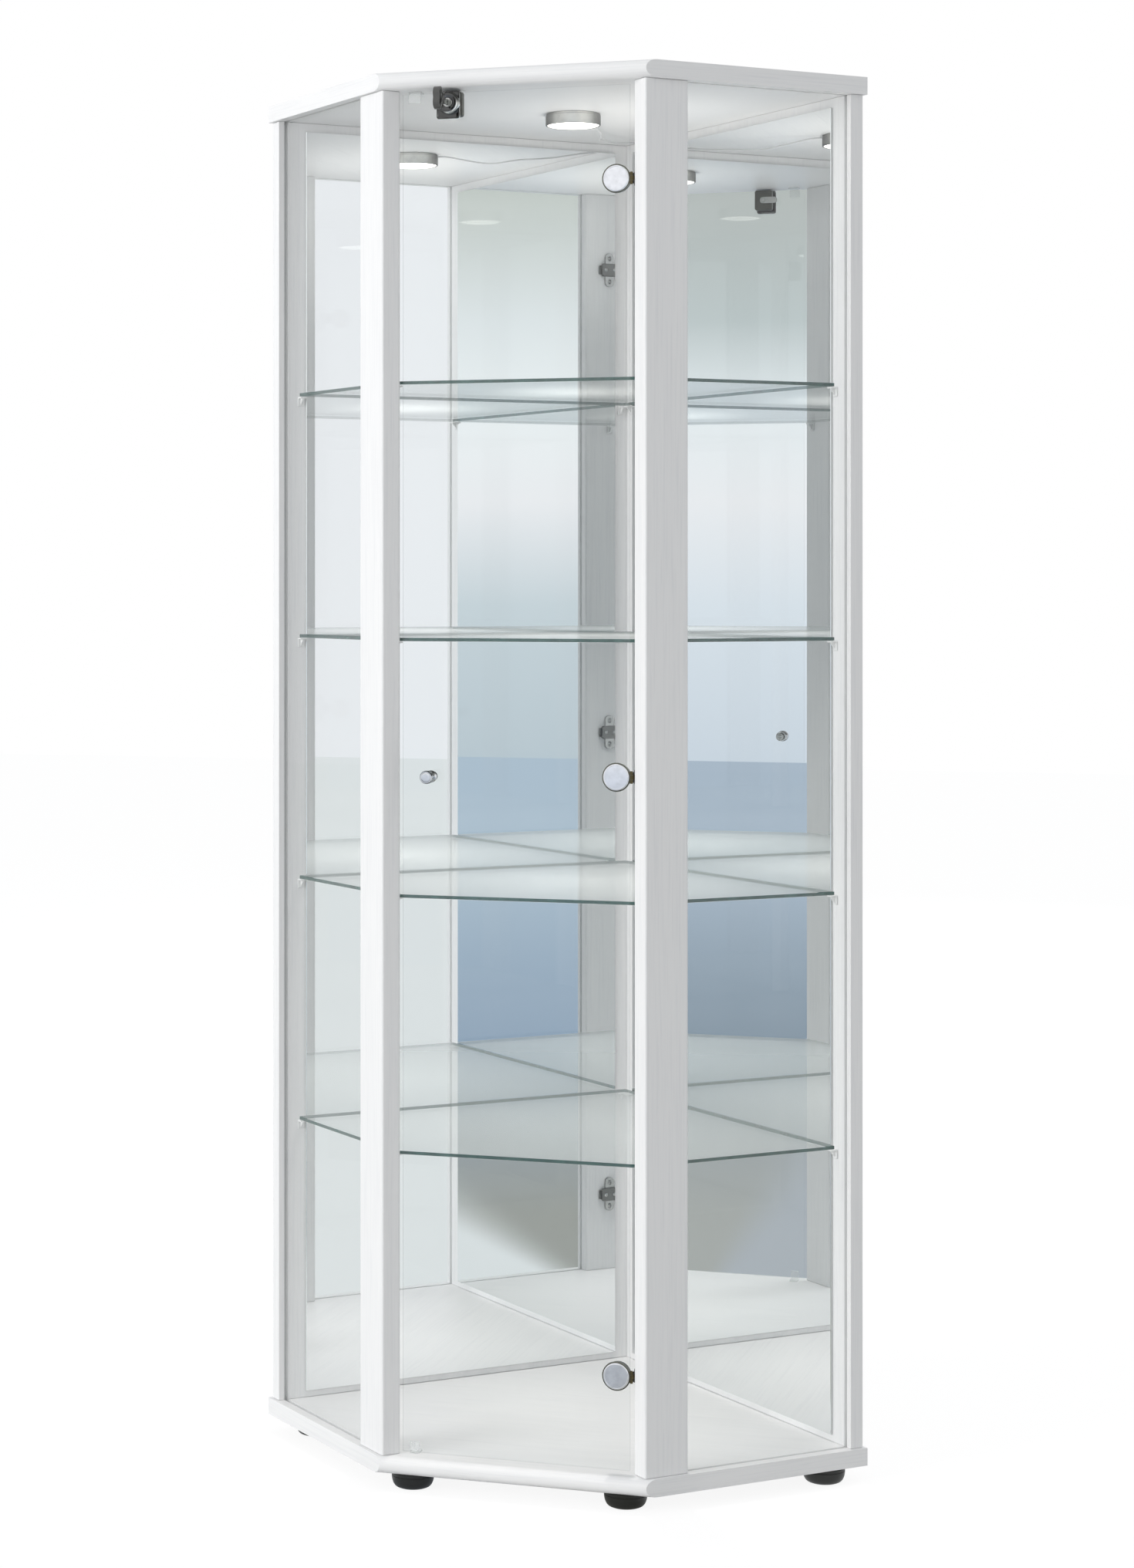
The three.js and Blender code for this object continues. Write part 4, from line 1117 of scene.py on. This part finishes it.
studio = {
    "floorSize": 30.0,
    "floorColor": (0.62, 0.62, 0.615),    # what the floor throws back at the cabinet
    "floorRoughness": 0.75,
    "floorSeen": (0.97, 0.97, 0.97),
    "floorWhite": 0.86,           # share of plain white in what the camera sees of the floor
    "floorGlow": 1.05,            # brings the floor up to white outside the cabinet's shadow
    "ambient": (0.955, 0.972, 0.99),
    "ambientStrength": 0.635,
    # what glass and metal mirror: pale tones all round, with softer ones in front of the cabinet
    "plainTone": (0.906, 0.912, 0.938),
    "plainFloor": (0.80, 0.825, 0.83),
    "frontWay": (0.24, -0.97, 0.0),
    "frontEdge": (0.90, 0.965),
    "doorWay": (-0.26, -0.966, 0.0),
    "doorEdge": (0.93, 0.965),
    "asideEdge": (0.222, 0.25),   # where the front tones pass from the right part to the middle
    # by how far a mirrored direction rises
    "toneRise": (-0.20, 0.20),
    "frontTones": [
        (0.30, (0.50, 0.58, 0.64)), (0.48, (0.64, 0.71, 0.75)), (0.56, (0.94, 0.927, 0.946)),
        (0.63, (0.95, 0.97, 0.98)), (0.70, (0.83, 0.86, 0.87)), (0.80, (0.60, 0.63, 0.59)),
    ],
    "asideTones": [
        (0.30, (0.60, 0.67, 0.76)), (0.48, (0.78, 0.83, 0.89)), (0.56, (0.94, 0.927, 0.946)),
        (0.63, (0.90, 0.93, 0.95)), (0.70, (0.55, 0.60, 0.60)), (0.80, (0.50, 0.52, 0.50)),
    ],
    "doorTones": [
        (0.30, (0.68, 0.73, 0.81)), (0.45, (0.74, 0.79, 0.86)), (0.60, (0.95, 0.96, 0.98)),
    ],
    # by distance from the cabinet, as shares of the reach
    "toneReach": 12.0,
    "floorFront": [
        (0.08, (0.345, 0.352, 0.325)), (0.14, (0.35, 0.38, 0.40)), (0.24, (0.31, 0.40, 0.52)),
        (0.60, (0.46, 0.56, 0.66)),
    ],
    "floorAside": [
        (0.08, (0.39, 0.40, 0.385)), (0.14, (0.36, 0.38, 0.39)), (0.24, (0.232, 0.295, 0.365)),
        (0.60, (0.42, 0.50, 0.60)),
    ],
    "floorDoor": [
        (0.12, (0.42, 0.45, 0.49)), (0.40, (0.55, 0.60, 0.67)), (0.90, (0.68, 0.73, 0.81)),
    ],
    "softboxes": {                # place, size and power
        "keySoftbox": ((-6.2, -6.9, 2.7), 4.6, 420.0),
        "fillSoftbox": ((-1.4, -6.2, 1.3), 3.0, 24.0),
        "rearSoftbox": ((1.5, 6.0, 3.0), 4.0, 80.0),
    },
    "lampGap": 0.001,             # between the lens and its light
    "lampSize": 0.055,
    "lampPower": 0.68,
    "lampSpread": 44.0,           # degrees
    "lampColor": (1.0, 0.965, 0.92),
    "returnHeight": 1.42,         # the lamp's light that comes back up to the top board
    "returnAside": 0.08,
    "returnSize": 0.26,
    "returnPower": 0.34,
    "returnSpread": 115.0,
    "returnColor": (1.0, 0.975, 0.94),
    "panesPassed": 40,            # enough for a ray to reach the mirrors through the glass and leave again
    "mirrorings": 8,
}
white = (1, 1, 1)


def softStep(tree, value, edge):
    return mapped(tree, value, edge, step="SMOOTHSTEP")


# the tone that is mirrored from a direction: plain all round, with three softer parts in front
def mirroredTone(tree, direction, plain, front, aside, byDoor):
    level = newNode(tree, "VectorMath", {0: direction, 1: (1, 1, 0)}, operation="MULTIPLY")
    heading = newNode(tree, "VectorMath", {0: level.outputs["Vector"]}, operation="NORMALIZE")
    heading = heading.outputs["Vector"]
    sideways = newNode(tree, "SeparateXYZ", {"Vector": heading}).outputs["X"]
    middle = softStep(tree, sideways, studio["asideEdge"])
    inFront = mixColors(tree, middle, aside, front)
    share = softStep(tree, along(tree, heading, studio["frontWay"]), studio["frontEdge"])
    tone = mixColors(tree, share, plain, inFront)
    share = softStep(tree, along(tree, heading, studio["doorWay"]), studio["doorEdge"])
    return mixColors(tree, share, tone, byDoor)


# 1 for what is mirrored straight to the eye, 0 where a mirror only lights a board
def mirroredToEye(tree, path):
    straight = sums(tree, "LESS_THAN", path["Diffuse Depth"], 1)
    return sums(tree, "MULTIPLY", path["Is Glossy Ray"], straight)


# kind is Emission on a surface and Background in the world
def glowing(tree, kind, color, strength=1.0):
    return newNode(tree, kind, {"Color": color, "Strength": strength}).outputs[kind]


def addFloor():
    clearSelection()
    bpy.ops.mesh.primitive_plane_add(size=studio["floorSize"], location=(0, 0, cadLow.z))
    floor = bpy.context.object
    floor.name = "studioFloor"
    material, tree, shader = newMaterial("paleFloor", studio["floorColor"], studio["floorRoughness"])
    place = reading(tree, "TexCoord", "Object")
    distance = newNode(tree, "VectorMath", {0: place}, operation="LENGTH").outputs["Value"]
    away = sums(tree, "DIVIDE", distance, studio["toneReach"])
    tones = [ramp(tree, away, studio[part]) for part in ("floorFront", "floorAside", "floorDoor")]
    mirrored = glowing(tree, "Emission", mirroredTone(tree, place, studio["plainFloor"], *tones))
    path = tree.nodes.new("ShaderNodeLightPath").outputs
    ground = mixColors(tree, path["Is Camera Ray"], studio["floorColor"], studio["floorSeen"])
    fill(tree, shader, {"Base Color": ground})
    seen = mixShaders(tree, mirroredToEye(tree, path), shader.outputs["BSDF"], mirrored)
    share = sums(tree, "MULTIPLY", path["Is Camera Ray"], studio["floorWhite"])
    setSurface(tree, mixShaders(tree, share, seen, glowing(tree, "Emission", white, studio["floorGlow"])))
    floor.data.materials.append(material)


def addWorld():
    world = bpy.data.worlds.new("studioWorld")
    world.use_nodes = True
    bpy.context.scene.world = world
    tree = world.node_tree
    soft = tree.nodes["Background"]
    fill(tree, soft, {"Color": studio["ambient"], "Strength": studio["ambientStrength"]})
    direction = reading(tree, "TexCoord", "Generated")
    height = newNode(tree, "SeparateXYZ", {"Vector": direction}).outputs["Z"]
    rise = mapped(tree, height, studio["toneRise"])
    tones = [ramp(tree, rise, studio[part]) for part in ("frontTones", "asideTones", "doorTones")]
    surround = glowing(tree, "Background", mirroredTone(tree, direction, studio["plainTone"], *tones))
    path = tree.nodes.new("ShaderNodeLightPath").outputs
    mirrored = mixShaders(tree, mirroredToEye(tree, path), soft.outputs["Background"], surround)
    whole = mixShaders(tree, path["Is Camera Ray"], mirrored, glowing(tree, "Background", white))
    fill(tree, tree.nodes["World Output"], {"Surface": whole})


def addSoftbox(name, place, size, power, target, color=white):
    light = bpy.data.lights.new(name, "AREA")
    light.size = size
    light.energy = power
    light.color = color
    box = bpy.data.objects.new(name, light)
    bpy.context.scene.collection.objects.link(box)
    box.location = place
    box.rotation_euler = (Vector(target) - Vector(place)).to_track_quat("-Z", "Y").to_euler()
    box.visible_camera = False
    box.visible_glossy = False
    return box


# a round light of the lamp's, which shines straight up or down
def addLampLight(name, kind, place, way):
    size, power, color = (studio[kind + part] for part in ("Size", "Power", "Color"))
    box = addSoftbox(name, place, size, power, place + Vector(way), color)
    box.data.shape = "DISK"
    box.data.spread = math.radians(studio[kind + "Spread"])


addFloor()
addWorld()
for name, (place, size, power) in studio["softboxes"].items():
    addSoftbox(name, place, size, power, (cadLow + cadHigh) / 2)
lensBottom = nodeMiddle("lamp_lens")
lensBottom.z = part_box("lamp_lens")[0].z - studio["lampGap"]
underLamp = Vector((lensBottom.x + studio["returnAside"], lensBottom.y, studio["returnHeight"]))
addLampLight("lampLight", "lamp", lensBottom, (0, 0, -1))
addLampLight("lampReturn", "return", underLamp, (0, 0, 1))
bpy.context.scene.cycles.transparent_max_bounces = studio["panesPassed"]
bpy.context.scene.cycles.glossy_bounces = studio["mirrorings"]

# the camera, found by fitting the cabinet's edges to the photograph
cameraView = {
    "right": 1.0651,         # to the right of the rear corner
    "forward": 4.4158,       # in front of the rear corner
    "height": 1.1298,        # above the floor
    "turn": 18.249,          # degrees to the left
    "lens": 73.70,
    "shiftX": 0.1266,
    "shiftY": -0.1301,
}
cameraData = bpy.data.cameras.new("camera")
camera = bpy.data.objects.new("camera", cameraData)
bpy.context.scene.collection.objects.link(camera)
camera.location = (cameraView["right"], rearY - cameraView["forward"], cameraView["height"])
camera.rotation_euler = (math.pi / 2, 0, math.radians(cameraView["turn"]))
cameraData.lens = cameraView["lens"]
cameraData.shift_x = cameraView["shiftX"]
cameraData.shift_y = cameraView["shiftY"]
bpy.context.scene.camera = camera
bpy.context.scene.view_settings.view_transform = "Standard"
print("studio and camera set")
